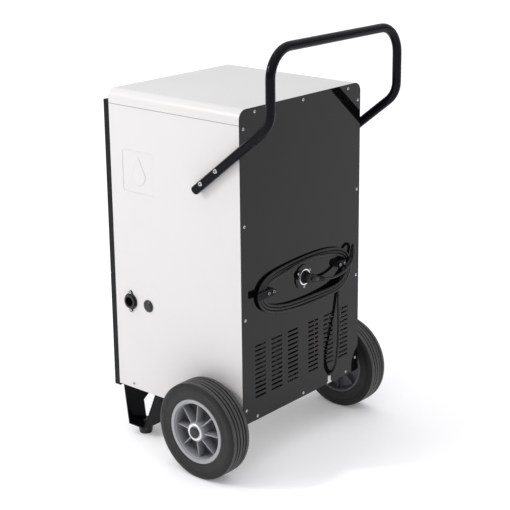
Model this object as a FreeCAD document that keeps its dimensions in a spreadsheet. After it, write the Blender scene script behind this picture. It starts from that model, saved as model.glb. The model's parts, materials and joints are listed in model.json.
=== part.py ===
import FreeCAD, Part
import math
import os
import Sketcher
from FreeCAD import Placement, Rotation, Vector

# Commercial dehumidifier on two wheels.  Millimetres, +Z up, front towards -Y, origin on the
# floor under the middle of the machine.

doc = FreeCAD.newDocument("Dehumidifier")
table = doc.addObject("Spreadsheet::Sheet", "Sizes")

DRIVING = (
    ("case_w", 450),        # casing width
    ("case_h", 760),        # casing height, pan to hood
    ("case_d", 418.5),      # casing depth, front edge to rear panel
    ("floor_gap", 131),     # floor to underside of casing
    ("overall_l", 549),     # front panels to back of handle
    ("steel", 1.5),         # casing sheet thickness
    ("corner", 22),         # hood and rear panel corner radius
    ("hood_skirt", 35),     # depth of the hood skirts
    ("flange", 20),         # folded flange width
    ("tube_d", 22),         # handle tube
    ("handle_set", 100),    # handle leg behind the rear panel
    ("handle_top", 1038),   # centre of the cross bar
    ("wheel_rad", 120),     # tyre radius
    ("wheel_w", 62),        # tyre width
    ("wheel_x", 240.5),     # inner face of the tyre
    ("wheel_set", 84),      # axle ahead of the rear panel
    ("rim_rad", 80),        # rim radius
    ("axle_rad", 10),       # axle radius
    ("hook_z", 445.3),      # height of cord hooks and plug holder
    ("hook_in", 121.8),     # inner end of a hook
    ("hook_len", 64.7),     # hook plate length
    ("post_len", 30),       # hook post length
    ("post_gap", 12),       # rear panel to hook plate
    ("slot_pitch", 11.7),   # louvre pitch
    ("slot_low", 190),      # lowest louvre
    ("cord_d", 7),          # mains cord
    ("panel_gap", 422),     # split between the two front panels
    ("panel_top", 863),     # top of the upper front panel
    ("deck_z", 431),        # middle deck
    ("fan_rad", 138),       # fan rotor radius
    ("comp_rad", 88),       # compressor shell radius
    ("plate_gap", 26),      # top of the foot plate above the floor
)
DERIVED = (
    ("half_w", "=case_w / 2"),
    ("rear_y", "=overall_l / 2 - tube_d / 2 - handle_set"),
    ("front_y", "=rear_y - case_d"),
    ("nose_y", "=-overall_l / 2"),
    ("top_z", "=floor_gap + case_h"),
    ("seam_z", "=top_z - hood_skirt"),
    ("axle_y", "=rear_y - wheel_set"),
)


class Size:
    """A length that carries its value and the spreadsheet expression behind it."""

    def __init__(self, value, text):
        self.value = float(value)
        self.text = text

    def __add__(self, other):
        other = size(other)
        return Size(self.value + other.value, "(%s + %s)" % (self.text, other.text))

    def __sub__(self, other):
        other = size(other)
        return Size(self.value - other.value, "(%s - %s)" % (self.text, other.text))

    def __mul__(self, factor):
        return Size(self.value * factor, "(%s * (%r))" % (self.text, float(factor)))

    def __truediv__(self, factor):
        return Size(self.value / factor, "(%s / %r)" % (self.text, float(factor)))

    def __radd__(self, other):
        return size(other) + self

    def __rsub__(self, other):
        return size(other) - self

    def __rmul__(self, factor):
        return self * factor

    def __neg__(self):
        return self * -1


def size(value):
    """A plain number or a Size, as a Size."""
    return value if isinstance(value, Size) else Size(value, "(%r)" % float(value))


for row, (alias, value) in enumerate(DRIVING + DERIVED, 1):
    table.set("A%d" % row, alias)
    table.set("B%d" % row, str(value))
    table.setAlias("B%d" % row, alias)
doc.recompute()
S = {alias: Size(table.get(alias), "Sizes." + alias) for alias, _ in DRIVING + DERIVED}


# ---------------------------------------------------------------- helpers

TURN = {
    "z": Rotation(),
    "x": Rotation(Vector(0, 1, 0), 90),
    "y": Rotation(Vector(1, 0, 0), -90),
    "-x": Rotation(Vector(0, 1, 0), -90),
    "-y": Rotation(Vector(1, 0, 0), 90),
    "-z": Rotation(Vector(1, 0, 0), 180),
}
PLANE = {"xy": "XY_Plane", "xz": "XZ_Plane", "yz": "YZ_Plane"}


def bind(obj, prop, value):
    obj.setExpression(prop, size(value).text)


def place(obj, at, axis="z"):
    obj.Placement = Placement(Vector(*[size(v).value for v in at]), TURN[axis])
    for letter, value in zip("xyz", at):
        bind(obj, "Placement.Base." + letter, value)


def solid(kind, name, at, axis, **sizes):
    """A Part primitive with every size bound to the spreadsheet."""
    obj = doc.addObject("Part::" + kind, name)
    for prop, value in sizes.items():
        bind(obj, prop, value)
    place(obj, at, axis)
    return obj


def box(name, at, dims):
    return solid("Box", name, at, "z", Length=dims[0], Width=dims[1], Height=dims[2])


def span(name, x, y, z):
    """A box between two limits on each axis."""
    return box(name, (x[0], y[0], z[0]), [size(b) - a for a, b in (x, y, z)])


def rod(name, at, axis, radius, length):
    return solid("Cylinder", name, at, axis, Radius=radius, Height=length)


def cone(name, at, axis, radius1, radius2, length):
    return solid("Cone", name, at, axis, Radius1=radius1, Radius2=radius2, Height=length)


def group(name, parts):
    obj = doc.addObject("Part::Compound", name)
    obj.Links = list(parts)
    return obj


def fuse(name, parts):
    obj = doc.addObject("Part::MultiFuse", name)
    obj.Shapes = list(parts)
    obj.Refine = True
    return obj


def cut(name, base, tools):
    """Base less the tools."""
    tools = list(tools)
    obj = doc.addObject("Part::Cut", name)
    obj.Base = base
    obj.Tool = tools[0] if len(tools) == 1 else fuse(name + "_tools", tools)
    obj.Refine = True
    return obj


def ring(name, at, axis, outer, inner, length):
    return cut(name, rod(name + "_disc", at, axis, outer, length),
               [rod(name + "_bore", at, axis, inner, length)])


def rounded(name, base, chosen, radius):
    """Round the edges of a base whose midpoint the test accepts."""
    doc.recompute()
    obj = doc.addObject("Part::Fillet", name)
    obj.Base = base
    obj.Edges = [(i, radius, radius) for i, edge in enumerate(base.Shape.Edges, 1)
                 if chosen(edge.CenterOfMass, edge.tangentAt(edge.FirstParameter))]
    return obj


def screw(name, at, axis, head_rad, head_len, shank_rad, shank_len):
    """A pan-head screw seated at a point, its head standing out along the axis."""
    head = cone(name + "_head", at, axis, head_rad, head_rad * 0.72, head_len)
    shank = rod(name + "_shank", at, {"x": "-x", "-x": "x", "y": "-y", "-z": "z", "z": "-z"}[axis],
                shank_rad, shank_len)
    return fuse(name, [head, shank])


def sketch(body, name, plane, offset, loops):
    """A fully bound sketch on one of the body's own planes."""
    obj = body.newObject("Sketcher::SketchObject", name)
    face = [f for f in body.Origin.OriginFeatures if f.Role == PLANE[plane]][0]
    obj.AttachmentSupport = [(face, "")]
    obj.MapMode = "FlatFace"
    bind(obj, "AttachmentOffset.Base.z", -offset if plane == "xz" else offset)

    def hold(kind, value, *where):
        if value.value == 0:
            axis = -2 if kind == "DistanceX" else -1
            obj.addConstraint(Sketcher.Constraint("PointOnObject", *where, axis))
            return
        index = obj.addConstraint(Sketcher.Constraint(kind, -1, 1, *where, value.value))
        obj.setExpression("Constraints[%d]" % index, value.text)

    for loop in loops:
        if loop[0] == "circle":
            _, centre, radius = loop
            u, v, radius = size(centre[0]), size(centre[1]), size(radius)
            index = obj.addGeometry(Part.Circle(Vector(u.value, v.value, 0), Vector(0, 0, 1),
                                                radius.value))
            hold("DistanceX", u, index, 3)
            hold("DistanceY", v, index, 3)
            rule = obj.addConstraint(Sketcher.Constraint("Radius", index, radius.value))
            obj.setExpression("Constraints[%d]" % rule, radius.text)
            continue
        points = [(size(u), size(v)) for u, v in loop]
        first = obj.GeometryCount
        for k, (u, v) in enumerate(points):
            u2, v2 = points[(k + 1) % len(points)]
            obj.addGeometry(Part.LineSegment(Vector(u.value, v.value, 0),
                                             Vector(u2.value, v2.value, 0)))
        for k, (u, v) in enumerate(points):
            following = first + (k + 1) % len(points)
            obj.addConstraint(Sketcher.Constraint("Coincident", first + k, 2, following, 1))
            hold("DistanceX", u, first + k, 1)
            hold("DistanceY", v, first + k, 1)
    return obj


def pad(body, name, plane, start, length, loops):
    profile = sketch(body, name + "_sketch", plane, size(start), loops)
    obj = body.newObject("PartDesign::Pad", name)
    obj.Profile = profile
    obj.Reversed = plane == "xz"
    bind(obj, "Length", length)
    profile.Visibility = False
    body.Tip = obj
    return obj


def pocket(body, name, plane, start, depth, loops):
    """Cut from a plane towards the positive axis."""
    profile = sketch(body, name + "_sketch", plane, size(start), loops)
    obj = body.newObject("PartDesign::Pocket", name)
    obj.Profile = profile
    obj.Reversed = plane != "xz"
    bind(obj, "Length", depth)
    body.Tip = obj
    return obj


def prism(name, plane, start, length, loops):
    body = doc.addObject("PartDesign::Body", name)
    pad(body, name + "_pad", plane, start, length, loops)
    return body


def spun(name, plane, axis, at, loops):
    """A body turned about a sketch axis and then moved to its place."""
    body = doc.addObject("PartDesign::Body", name)
    profile = sketch(body, name + "_profile", plane, size(0), loops)
    obj = body.newObject("PartDesign::Revolution", name + "_turn")
    obj.Profile = profile
    obj.ReferenceAxis = (profile, [axis])
    obj.Angle = 360
    body.Tip = obj
    for letter, value in zip("xyz", at):
        bind(body, "Placement.Base." + letter, value)
    return body


def row(body, name, source, axis, length, count):
    obj = body.newObject("PartDesign::LinearPattern", name)
    obj.Originals = [source]
    obj.Direction = (source.Profile[0], [axis])
    bind(obj, "Length", length)
    obj.Occurrences = count
    body.Tip = obj
    return obj


def spokes(body, name, source, count):
    obj = body.newObject("PartDesign::PolarPattern", name)
    axis = [f for f in body.Origin.OriginFeatures if f.Role == "X_Axis"][0]
    obj.Originals = [source]
    obj.Axis = (axis, [""])
    obj.Angle = 360
    obj.Occurrences = count
    body.Tip = obj
    return obj


def rect(u, v):
    """A rectangle between two limits on each sketch axis."""
    return [(u[0], v[0]), (u[1], v[0]), (u[1], v[1]), (u[0], v[1])]


def shape(name, made):
    obj = doc.addObject("Part::Feature", name)
    obj.Shape = made
    return obj


def bent_path(points, radii):
    """Straight runs joined by tangent arcs."""
    points = [Vector(*p) for p in points]
    edges = []
    start = points[0]
    for before, corner, after, radius in zip(points, points[1:], points[2:], radii):
        back = (before - corner).normalize()
        ahead = (after - corner).normalize()
        turn = math.pi - back.getAngle(ahead)
        reach = radius * math.tan(turn / 2)
        one = corner + back * reach
        two = corner + ahead * reach
        inward = (back + ahead).normalize()
        middle = corner + inward * (radius / math.cos(turn / 2) - radius)
        edges.append(Part.LineSegment(start, one).toShape())
        edges.append(Part.Arc(one, middle, two).toShape())
        start = two
    edges.append(Part.LineSegment(start, points[-1]).toShape())
    return Part.Wire(edges)


def swept(path, radius):
    """A round bar along a path."""
    edge = path.Edges[0]
    start = edge.valueAt(edge.FirstParameter)
    section = Part.Wire(Part.Circle(start, edge.tangentAt(edge.FirstParameter), radius).toShape())
    return path.makePipeShell([section], True, False)


def corner_radii(points, share=0.45):
    """Arc radii that use the same share of the shorter run at every corner."""
    points = [Vector(*p) for p in points]
    radii = []
    for before, corner, after in zip(points, points[1:], points[2:]):
        turn = math.pi - (before - corner).getAngle(after - corner)
        shorter = min((before - corner).Length, (after - corner).Length)
        radii.append(share * shorter / math.tan(turn / 2))
    return radii


# ---------------------------------------------------------------- named values

half_w = S["half_w"]
steel = S["steel"]
flange = S["flange"]
rear_y = S["rear_y"]
front_y = S["front_y"]
nose_y = S["nose_y"]
base_z = S["floor_gap"]
top_z = S["top_z"]
seam_z = S["seam_z"]
inner_w = half_w - steel
skin_y = rear_y - steel              # front of the rear panel
hook_z = S["hook_z"]
axle_y = S["axle_y"]
axle_z = S["wheel_rad"]

SIDE_ROW = [167, 393.7, 620.3, 847]                    # rear panel screws up each edge
TOP_ROW = [-174, 0, 174]                               # rear panel screws along top and bottom
side_screw_x = half_w - 11.5
screw_rad = 2.0

nodes = []


def keep(obj):
    nodes.append(obj)
    return obj


# ---------------------------------------------------------------- casing

pan_lip = 20
tray = span("pan_block", (-inner_w, inner_w), (front_y, skin_y), (base_z, base_z + pan_lip))
hollow = span("pan_hollow", (-inner_w + 2, inner_w - 2), (front_y + 2, skin_y - 2),
              (base_z + 2, base_z + pan_lip))
rails = [span("pan_rail_%d" % k, (x - 10, x + 10), (front_y + 6, -60), (base_z + 2, 159.8))
         for k, x in enumerate((-140, 140))]
pan_holes = [rod("pan_hole_%d" % k, (x, skin_y - 4, base_z + 9.5), "y", screw_rad + 0.1, 6)
             for k, x in enumerate(TOP_ROW)]
pan_holes += [rod("pan_side_hole_%d" % k, (x, -202.7, base_z + 12), "x", screw_rad + 0.1, 6)
              for k, x in enumerate((-inner_w - 1, inner_w - 5))]
keep(cut("base_pan", fuse("pan_body", [cut("pan_tray", tray, [hollow])] + rails), pan_holes))


def side_sheet(name, sign):
    """A folded side: skin, front return and rear return."""
    out, inn, lip = half_w * sign, inner_w * sign, (inner_w - flange) * sign
    low = base_z + pan_lip
    parts = [
        span(name + "_skin", sorted((out, inn), key=lambda s: s.value), (front_y, skin_y),
             (base_z, seam_z)),
        span(name + "_front", sorted((inn, lip), key=lambda s: s.value),
             (front_y, front_y + steel), (low, seam_z)),
        span(name + "_rear", sorted((inn, lip), key=lambda s: s.value),
             (skin_y - steel, skin_y), (low, seam_z)),
    ]
    return fuse(name + "_sheet", parts)


HANDLE_END = (36.5, 691)                               # lower end of each arm, y and z
ARM_RISE = math.radians(38.5)
ARM_BOLTS = [(HANDLE_END[0] + d * math.cos(ARM_RISE), HANDLE_END[1] + d * math.sin(ARM_RISE))
             for d in (33, 93)]
SOCKET_YZ = (-201.7, 363.5)
PLUG_YZ = (-141.7, 363.5)


def side_holes(name, sign):
    start = half_w * sign - 5
    made = [rod("%s_bolt_%d" % (name, k), (start, y, z), "x", 3.2, 10)
            for k, (y, z) in enumerate(ARM_BOLTS)]
    made += [rod("%s_rear_%d" % (name, k), (side_screw_x * sign, skin_y - 5, z), "y",
                 screw_rad + 0.1, 6) for k, z in enumerate(SIDE_ROW)]
    made.append(rod(name + "_pan", (start, -202.7, base_z + 12), "x", screw_rad + 0.1, 10))
    return made


# Pressed panel: a rounded square and a plain drop, both sunk into the right side.
badge_y, badge_z, badge_w, badge_h = -161.0, 698.0, 106.0, 103.0
badge_deep = 0.7
badge = rounded(
    "badge_corners",
    box("badge_block", (half_w - badge_deep, badge_y - badge_w / 2, badge_z - badge_h / 2),
        (badge_deep + 2, badge_w, badge_h)),
    lambda mid, way: abs(way.x) > 0.9, 9.0)
drop_ball = rod("badge_drop_round", (half_w - badge_deep, badge_y, badge_z - 10), "x", 22, badge_deep)
drop_tip = prism("badge_drop_tip", "yz", half_w - badge_deep, badge_deep,
                 [[(badge_y - 20.4, badge_z - 2), (badge_y + 20.4, badge_z - 2),
                   (badge_y, badge_z + 37)]])
sunk = cut("badge_sink", badge, [drop_ball, drop_tip])

right_tools = side_holes("right", 1) + [
    sunk,
    rod("right_socket_hole", (half_w - 5, SOCKET_YZ[0], SOCKET_YZ[1]), "x", 17.2, 10),
    rod("right_plug_hole", (half_w - 5, PLUG_YZ[0], PLUG_YZ[1]), "x", 12.2, 10),
] + [rod("right_socket_screw_%d" % k, (half_w - 5, SOCKET_YZ[0], SOCKET_YZ[1] + dz), "x", 1.6, 10)
     for k, dz in enumerate((-22.5, 22.5))]
keep(cut("casing_side_right", side_sheet("right", 1), right_tools))

# The air leaves through two banks of louvres in the left side.
louvre_pitch, louvre_count = 15.0, 16
left_louvres = [span("left_louvre_%d_%d" % (bank, k), (-half_w - 1, -inner_w + 1), (y, y + 70),
                     (515 + k * louvre_pitch, 522 + k * louvre_pitch))
                for bank, y in enumerate((-35, 50)) for k in range(louvre_count)]
keep(cut("casing_side_left", side_sheet("left", -1), side_holes("left", -1) + left_louvres))


def hood_block(name, inset, y, low):
    """The hood's outline, shrunk by an inset, with both long edges rounded."""
    block = span(name + "_block", (-half_w + inset, half_w - inset), y, (low, top_z - inset))
    high = (top_z - inset).value
    return rounded(name, block,
                   lambda mid, way: abs(way.y) > 0.9 and abs(mid.z - high) < 0.01,
                   S["corner"].value - size(inset).value)


hood_shell = cut("hood_shell", hood_block("hood_outside", size(0), (front_y, skin_y), seam_z),
                 [hood_block("hood_inside", steel, (front_y + steel, skin_y + 1), seam_z - 1)])
hood_lip = span("hood_lip", (-inner_w + flange, inner_w - flange), (skin_y - steel, skin_y),
                (top_z - 20, top_z - steel))
hood_holes = [rod("hood_hole_%d" % k, (x, skin_y - 4, top_z - 10), "y", screw_rad + 0.1, 6)
              for k, x in enumerate(TOP_ROW)]
keep(cut("top_hood", fuse("hood_body", [hood_shell, hood_lip]), hood_holes))

# Front frame behind the black panels: air intake above, tank bay below.
intake = rect((-172, 172), (462, 782))
bay = rect((-186, 186), (158, 406))
frame = prism("front_frame", "xz", front_y + steel, steel,
              [rect((-inner_w, inner_w), (base_z + pan_lip, seam_z)), intake, bay])
keep(frame)

deck = prism("middle_deck", "xy", S["deck_z"], steel,
             [rect((-inner_w, inner_w), (front_y + steel * 2, skin_y - steel)),
              ("circle", (0, -150), 9.2)])
pocket(deck, "deck_notch", "xy", S["deck_z"] - 1, 4, [rect((-20, 20), (rear_y - 24, rear_y))])
keep(deck)

# ---------------------------------------------------------------- rear panel

panel = doc.addObject("PartDesign::Body", "rear_panel")
blank = pad(panel, "panel_sheet", "xz", skin_y, steel,
            [rect((-half_w, half_w), (base_z, top_z))])
doc.recompute()
edges = ["Edge%d" % i for i, e in enumerate(panel.Shape.Edges, 1)
         if abs(e.tangentAt(e.FirstParameter).y) > 0.9 and e.CenterOfMass.z > top_z.value - 1]
corners = panel.newObject("PartDesign::Fillet", "panel_corners")
corners.Base = (blank, edges)
bind(corners, "Radius", S["corner"])
panel.Tip = corners

NOTCH_X, NOTCH_RISE = -107, 27                         # cord notch in the bottom edge
notch = [(NOTCH_X - 11, base_z - 1), (NOTCH_X + 11, base_z - 1), (NOTCH_X + 11, base_z + 2),
         (NOTCH_X + 7, base_z + 7), (NOTCH_X + 7, base_z + NOTCH_RISE),
         (NOTCH_X + 4.5, base_z + NOTCH_RISE + 5.4), (NOTCH_X, base_z + NOTCH_RISE + 7),
         (NOTCH_X - 4.5, base_z + NOTCH_RISE + 5.4), (NOTCH_X - 7, base_z + NOTCH_RISE),
         (NOTCH_X - 7, base_z + 7), (NOTCH_X - 11, base_z + 2)]
pocket(panel, "panel_notch", "xz", skin_y - 1, 4, [notch])

screw_spots = [(x, top_z - 10) for x in TOP_ROW] + [(x, base_z + 9.5) for x in TOP_ROW]
screw_spots += [(side_screw_x * sign, z) for sign in (-1, 1) for z in SIDE_ROW]
HOLDER_SPOTS = [(25 * math.cos(math.radians(a)), 25 * math.sin(math.radians(a)))
                for a in (30, 150, 270)]
HOOK_SPOTS = [6.4, 24.4]                               # hook screws from the inner end
hook_spots = [(S["hook_in"] + d) * sign for sign in (-1, 1) for d in HOOK_SPOTS]
drilled = [("circle", spot, screw_rad + 0.1) for spot in screw_spots]
drilled += [("circle", (x, hook_z), 2.1) for x in hook_spots]
drilled += [("circle", (x, hook_z + z), 1.7) for x, z in HOLDER_SPOTS]
drilled.append(("circle", (0, hook_z), 18.5))
pocket(panel, "panel_holes", "xz", skin_y - 1, 4, drilled)

SLOT_COLUMNS = [(20, 59), (81, 120.5), (142, 180.5)]
slot_w = 4.6
slot_row = [rect(sorted((a * sign, b * sign)), (S["slot_low"] - slot_w / 2, S["slot_low"] + slot_w / 2))
            for sign in (-1, 1) for a, b in SLOT_COLUMNS]
slots = pocket(panel, "panel_slots", "xz", skin_y - 1, 4, slot_row)
row(panel, "panel_slot_rows", slots, "V_Axis", S["slot_pitch"] * 11, 12)
keep(panel)

keep(group("rear_panel_screws", [
    screw("rear_screw_%d" % k, (x, rear_y, z), "y", 4.2, 2.2, screw_rad, 8)
    for k, (x, z) in enumerate(screw_spots)]))

side_fixings = [screw("pan_screw_%d" % k, (x, -202.7, base_z + 12), axis, 4.0, 2.0, screw_rad, 7)
                for k, (x, axis) in enumerate(((half_w, "x"), (-half_w, "-x")))]
side_fixings += [screw("socket_screw_%d" % k, (half_w + 3, SOCKET_YZ[0], SOCKET_YZ[1] + dz), "x",
                       3.0, 1.8, 1.5, 10) for k, dz in enumerate((-22.5, 22.5))]
keep(group("side_screws", side_fixings))

# ---------------------------------------------------------------- right side fittings

flange_disc = rod("socket_disc", (half_w, *SOCKET_YZ), "x", 20.5, 3)
ears = [rod("socket_ear_%d" % k, (half_w, SOCKET_YZ[0], SOCKET_YZ[1] + dz), "x", 5.5, 3)
        for k, dz in enumerate((-22.5, 22.5))]
collar = rod("socket_collar", (half_w - 18, *SOCKET_YZ), "x", 17, 26)
well = rod("socket_well", (half_w - 10, *SOCKET_YZ), "x", 12.5, 20)
socket_pins = [rod("socket_pin_%d" % k, (half_w - 11, SOCKET_YZ[0] + 6 * math.cos(a),
                                          SOCKET_YZ[1] + 6 * math.sin(a)), "x", 1.3, 10)
               for k, a in enumerate((math.pi / 2, math.pi * 7 / 6, math.pi * 11 / 6))]
bores = [rod("socket_bore_%d" % k, (half_w - 5, SOCKET_YZ[0], SOCKET_YZ[1] + dz), "x", 1.6, 10)
         for k, dz in enumerate((-22.5, 22.5))]
hull = cut("socket_hull", fuse("socket_mass", [flange_disc, collar] + ears), [well] + bores)
keep(fuse("humidistat_socket", [hull] + socket_pins))

keep(fuse("blanking_plug", [
    rod("plug_disc", (half_w, *PLUG_YZ), "x", 15.5, 1.6),
    cone("plug_dome", (half_w + 1.6, *PLUG_YZ), "x", 13, 10, 2.4),
    rod("plug_stem", (half_w - 9, *PLUG_YZ), "x", 12, 9.5)]))

# ---------------------------------------------------------------- handle

tube_rad = S["tube_d"] / 2
handle_x = half_w + tube_rad
leg_y = rear_y + S["handle_set"]
arm_top = HANDLE_END[1] + (leg_y.value - HANDLE_END[0]) * math.tan(ARM_RISE)
handle_points = [(handle_x.value, *HANDLE_END), (handle_x.value, leg_y.value, arm_top),
                 (handle_x.value, leg_y.value, S["handle_top"].value)]
handle_points += [(-x, y, z) for x, y, z in reversed(handle_points)]
handle_wire = bent_path(handle_points, (62, 67, 67, 62))
handle_bar = shape("handle_bar", swept(handle_wire, tube_rad.value))
handle_core = shape("handle_core", swept(handle_wire, tube_rad.value - 2))
arm_holes = [rod("arm_hole_%d_%d" % (sign, k), ((handle_x - 14) * sign, y, z),
                 "x" if sign > 0 else "-x", 3.2, 28)
             for sign in (-1, 1) for k, (y, z) in enumerate(ARM_BOLTS)]
keep(cut("handle_tube", handle_bar, [handle_core] + arm_holes))


def end_plug(name, sign):
    """A plug pushed into an arm end, its rim resting on the tube's edge."""
    parts = []
    for suffix, start, radius, length in (("stem", 0, tube_rad - 2, 10), ("rim", -2, tube_rad, 2)):
        part = rod("%s_%s" % (name, suffix), (0, 0, 0), "z", radius, length)
        along = Vector(0, math.cos(ARM_RISE), math.sin(ARM_RISE))
        base = Vector(handle_x.value * sign, *HANDLE_END) + along * start
        part.Placement = Placement(base, Rotation(Vector(0, 0, 1), along))
        for letter in "xyz":
            part.setExpression("Placement.Base." + letter, None)
        parts.append(part)
    return fuse(name, parts)


keep(group("handle_end_plugs", [end_plug("end_plug_right", 1), end_plug("end_plug_left", -1)]))


def arm_bolt(name, sign, y, z):
    way, back = ("x", "-x") if sign > 0 else ("-x", "x")
    seat = (half_w + S["tube_d"]) * sign
    head = cone(name + "_head", (seat, y, z), way, 5.4, 3.4, 3.6)
    shank = rod(name + "_shank", (seat, y, z), back, 3.0, 33)
    nut = rod(name + "_nut", (inner_w * sign, y, z), back, 5.6, 5)
    return fuse(name, [head, shank, nut])


keep(group("handle_screws", [arm_bolt("arm_bolt_%d_%d" % (sign, k), sign, y, z)
                             for sign in (-1, 1) for k, (y, z) in enumerate(ARM_BOLTS)]))

# ---------------------------------------------------------------- cord hooks and plug holder

hook_half = 9.0
post_gap = S["post_gap"]


def hook_post(name, sign):
    near, far = S["hook_in"] + hook_half, S["hook_in"] + S["post_len"] - hook_half
    body = span(name + "_mid", sorted((near * sign, far * sign), key=lambda s: s.value),
                (rear_y, rear_y + post_gap), (hook_z - hook_half, hook_z + hook_half))
    ends = [rod("%s_end_%d" % (name, k), (x * sign, rear_y, hook_z), "y", hook_half, post_gap)
            for k, x in enumerate((near, far))]
    holes = [rod("%s_hole_%d" % (name, k), ((S["hook_in"] + d) * sign, rear_y - 1, hook_z), "y",
                 2.1, post_gap + 2) for k, d in enumerate(HOOK_SPOTS)]
    return cut(name, fuse(name + "_mass", [body] + ends), holes)


def hook_plate(name, sign):
    near, far = S["hook_in"] + hook_half, S["hook_in"] + S["hook_len"]
    start = rear_y + post_gap
    body = span(name + "_mid", sorted((near * sign, far * sign), key=lambda s: s.value),
                (start, start + 3), (hook_z - hook_half, hook_z + hook_half))
    tip = (far * sign).value
    eased = rounded(name + "_eased", body,
                    lambda mid, way: abs(way.y) > 0.9 and abs(mid.x - tip) < 0.1, 3.0)
    end = rod(name + "_end", (near * sign, start, hook_z), "y", hook_half, 3)
    holes = [rod("%s_hole_%d" % (name, k), ((S["hook_in"] + d) * sign, start - 1, hook_z), "y",
                 2.1, 5) for k, d in enumerate(HOOK_SPOTS)]
    return cut(name, fuse(name + "_mass", [eased, end]), holes)


keep(group("hook_posts", [hook_post("hook_post_right", 1), hook_post("hook_post_left", -1)]))
keep(group("hook_plates", [hook_plate("hook_plate_right", 1), hook_plate("hook_plate_left", -1)]))
keep(group("hook_screws", [screw("hook_screw_%d" % k, (x, rear_y + post_gap + 3, hook_z), "y",
                                 3.6, 2.6, 2.0, 20) for k, x in enumerate(hook_spots)]))

holder = spun("plug_holder", "xy", "V_Axis", (0, rear_y, hook_z), [
    [(0, -20), (18, -20), (18, 0), (31, 0), (31, 3), (16.6, 3), (16.6, -18), (0, -18)]])
pocket(holder, "holder_holes", "xz", -1, 6, [("circle", spot, 1.7) for spot in HOLDER_SPOTS])
keep(holder)
keep(ring("plug_holder_ring", (0, rear_y + 3, hook_z), "y", 20.2, 16.8, 3))
keep(group("plug_holder_screws", [
    screw("holder_screw_%d" % k, (x, rear_y + 3, hook_z + z), "y", 3.2, 2.0, 1.6, 8)
    for k, (x, z) in enumerate(HOLDER_SPOTS)]))

# The plug sits in the holder with its neck leaving sideways, tilted down a little.
lead_y = rear_y + 16
PLUG_TILT, PLUG_REACH = math.radians(17), 62.0
neck = fuse("plug_neck_parts", [
    cone("plug_neck", (-9, lead_y, hook_z), "-x", 9.6, 7.4, 26),
    *[rod("plug_rib_%d" % k, (-35 - k * 5.5, lead_y, hook_z), "-x", 7.6 - k * 0.3, 3.4)
      for k in range(5)],
    rod("plug_sleeve", (-34, lead_y, hook_z), "-x", 4.8, PLUG_REACH - 34)])
neck.Placement = FreeCAD.Placement(Vector(), FreeCAD.Rotation(Vector(0, 1, 0),
                                                              -math.degrees(PLUG_TILT)),
                                   Vector(0, 0, hook_z.value))
keep(fuse("mains_plug", [
    rod("plug_body", (0, rear_y - 6, hook_z), "y", 15.6, 14),
    cone("plug_cap", (0, rear_y + 8, hook_z), "y", 15.6, 10, 15), neck]))
keep(group("plug_pins", [rod("plug_pin_%d" % k, (x, rear_y - 17.5, hook_z), "y", 2.4, 11.5)
                         for k, x in enumerate((-9.5, 9.5))]))

# ---------------------------------------------------------------- mains cord

cord_rad = S["cord_d"] / 2
BOX_REAR = 60.0                                        # rear face of the electrics box


def at_panel(x, z, out):
    """A cord point given across and up the rear panel and out from it."""
    return (x, rear_y.value + out, base_z.value + z)


# The outermost turn round the hooks as an outline of (across, up) points, from the left end's
# outer side over the top, round the right end and back along the bottom.
CORD_LOOP = ((-174.3, 323.5), (-154, 346), (-121, 357),
             (-80, 363.5), (-26, 365.3), (28, 363.8), (78, 360.5),
             (120, 355.5), (151.5, 345.5), (172.5, 325), (173, 296), (155, 273), (124, 259),
             (80, 248.5), (25, 243), (-30, 241.5), (-82, 245.5),
             (-122, 256), (-152, 271.5), (-171.8, 294))
LOOP_OUT = (5.8, 5.8, 5.4, 4.1, 4.1, 4.1, 4.1, 5, 6, 6, 6, 6, 5, 4.6, 4.2, 5, 8.6, 12.4, 12.6, 8.4)
TOP_OF_FIRST = ((14.8, 7.2), (12, 11.2), (6.2, 11.6), (6.2, 11.6), (12, 11.2), (14.8, 7.2))
TURN_STEP = 7.4                                        # one turn lies this far inside the next


def inside_loop(k, step):
    """Corner k of the outline, with its two sides moved inward by a step."""
    here = Vector(*CORD_LOOP[k], 0)
    back = here - Vector(*CORD_LOOP[k - 1], 0)
    on = Vector(*CORD_LOOP[(k + 1) % len(CORD_LOOP)], 0) - here
    one, two = (Vector(v.y, -v.x, 0).normalize() for v in (back, on))
    point = here + (one + two) * (step / (1 + one.dot(two)))
    return point.x, point.y


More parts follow.
